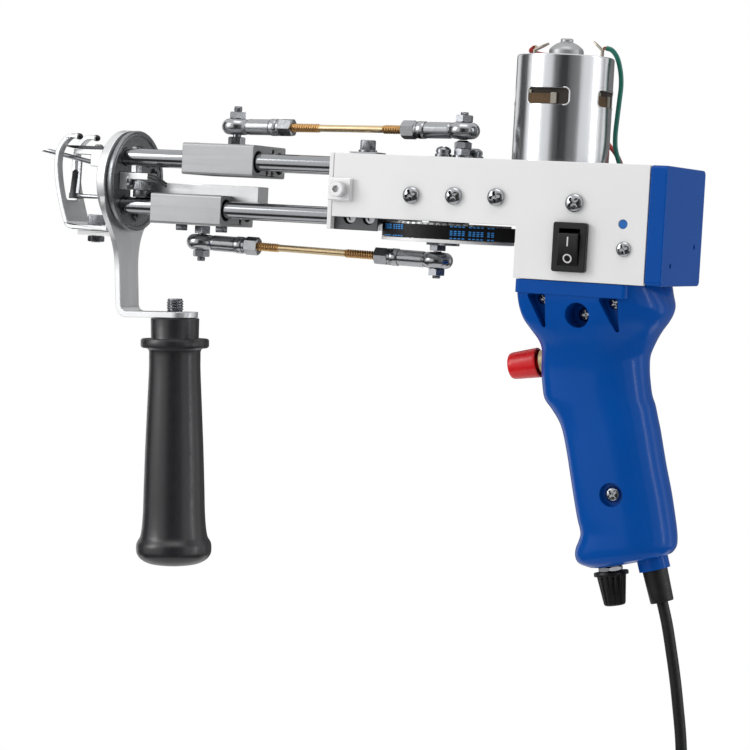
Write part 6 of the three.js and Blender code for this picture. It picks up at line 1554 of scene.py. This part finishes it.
def rocker_marks():
    """A stroke on the key's upper half and a circle on its lower half."""
    stroke, rows = bmesh.new(), []
    for i in range(7):
        s = 0.26 + 0.56 * i / 6
        under, over = rocker_face(s, MARK_UNDER), rocker_face(s, MARK_OVER)
        rows.append([stroke.verts.new(p) for p in ((-0.3, *under), (-0.3, *over), (0.3, *over), (0.3, *under))])
    bridge(stroke, rows, True)
    circle, rows = bmesh.new(), []
    for r, lift in ((1.4, MARK_UNDER), (1.4, MARK_OVER), (2.0, MARK_OVER), (2.0, MARK_UNDER)):
        rows.append([circle.verts.new((x, *rocker_face(-0.52 + y / ROCKER_HALF, lift))) for x, y in ring(r, n=28)])
    bridge(circle, [*rows, rows[0]])
    return together(mesh_of(stroke, 0), mesh_of(circle, 0))


piece("rocker_marks", rocker_marks(), white_mark, at=ROCKER, body="rocker", smooth=40)

# Speed dial
dial_parts = together(
    moved(threaded(3.4, 0.3, 0.75, 11.0), shift(0, 0, -6)),
    moved(hexnut(10, 2.0, 3.4), shift(0, 0, -2.75) @ turn("Z", 12)),
    lathe([(0, 5), (8, 5), (8, 11.5), (0, 11.5)], 64),
)
piece("dial_body", dial_parts, zinc, "speed_dial_body", at=DIAL, bevel=0.06, smooth=30)
KNOB_TOP = -3.05
knob_profile = [
    (0, 14.8), (3.8, 14.8), (4.5, 14.5), (4.8, 13.8), (6.4, 1.9), (6.5, 1.65), (7.5, 1.6), (7.6, 1.45), (7.6, 0.2),
    (7.45, 0), (3.7, 0), (3.7, 3.2), (0, 3.2),
]
knob = lathe([(r, KNOB_TOP - down) for r, down in knob_profile], 14 * 12, flutes=14, flute_depth=0.85, fluted=(3, 4))
piece("knob", knob, black, "speed_knob", at=DIAL, body="speed_control", smooth=45)

BOARD = shift(20.4, 0, -63) @ Matrix.Rotation(0.28, 4, "Y")
piece("board_sheet", box(-0.8, 0.8, -14.2, 14.2, -19, 19), board_green, "controller_board", at=BOARD)
chips = together(box(0.6, 5, -9.4, 7.1, -12.6, 0), both(rod("z", 5, 0, 0, 4.8, 12.6, 32), box(0.6, 8, -8, 8, 0, 20)))
piece("board_block", chips, black, at=BOARD, bevel=0.4)

# Motor wires
GREEN_WIRE = [
    (8.4, 0, 100.6), (10.7, 0.3, 99.9), (13.1, 0.8, 97.0), (14.9, 1.4, 91), (15.4, 1.9, 85.2), (15, 2, 78.2),
    (14.5, 2, 71), (14.1, 2, 63), (14.6, 2, 57.5), (16.6, 2, 51.5), (18.6, 2, 46), (19.6, 2, 40.5), (19.6, 2, 35),
]
RED_WIRE = [
    (-25.2, 0.6, 100.3), (-27.4, 3, 99.2), (-26.2, 11, 98.4), (-20.6, 19.2, 97.6), (-15.6, 23.2, 92.6),
    (-12.6, 23.8, 86), (-9.2, 23.6, 79), (-5.2, 23.3, 72), (0.2, 21.6, 65.4), (5.8, 18, 60), (10.8, 13.6, 56),
    (14.4, 10.6, 51.4), (16.2, 9.6, 46), (16.8, 9.4, 40.5), (16.8, 9.4, 35),
]
for name, route, node, green_or_red, tab in (
    ("green_lead", GREEN_WIRE, "wire_green", green_cover, Vector((6.9, 0, 99.8))),
    ("red_lead", RED_WIRE, "wire_red", red_cover, Vector((-24.0, 0.4, 100.4))),
):
    line = catmull(route, 8)
    piece(name, tube(line, 1.05, 24), green_or_red, node, smooth=60)
    start = line[0]
    strands = []
    for x, y in ring(0.35, n=5):
        wave = Vector((x * 3 / 7, x, y))
        middle = (start + tab) / 2 + wave * 1.6 + Vector((0, 0, 0.4))
        strands.append(tube(catmull([start + wave, middle, tab + wave * 0.7], 6), 0.22, 8))
    piece(name + "_strands", together(*strands), copper, smooth=60)
    blob = [tab + Vector((0, 0, s)) for s in (-1.1, -0.8, -0.2, 0.4, 0.8, 1.0)]
    piece(name + "_solder", tube(blob, [0.15, 0.45, 0.65, 0.62, 0.4, 0.15], 20), solder, smooth=70)
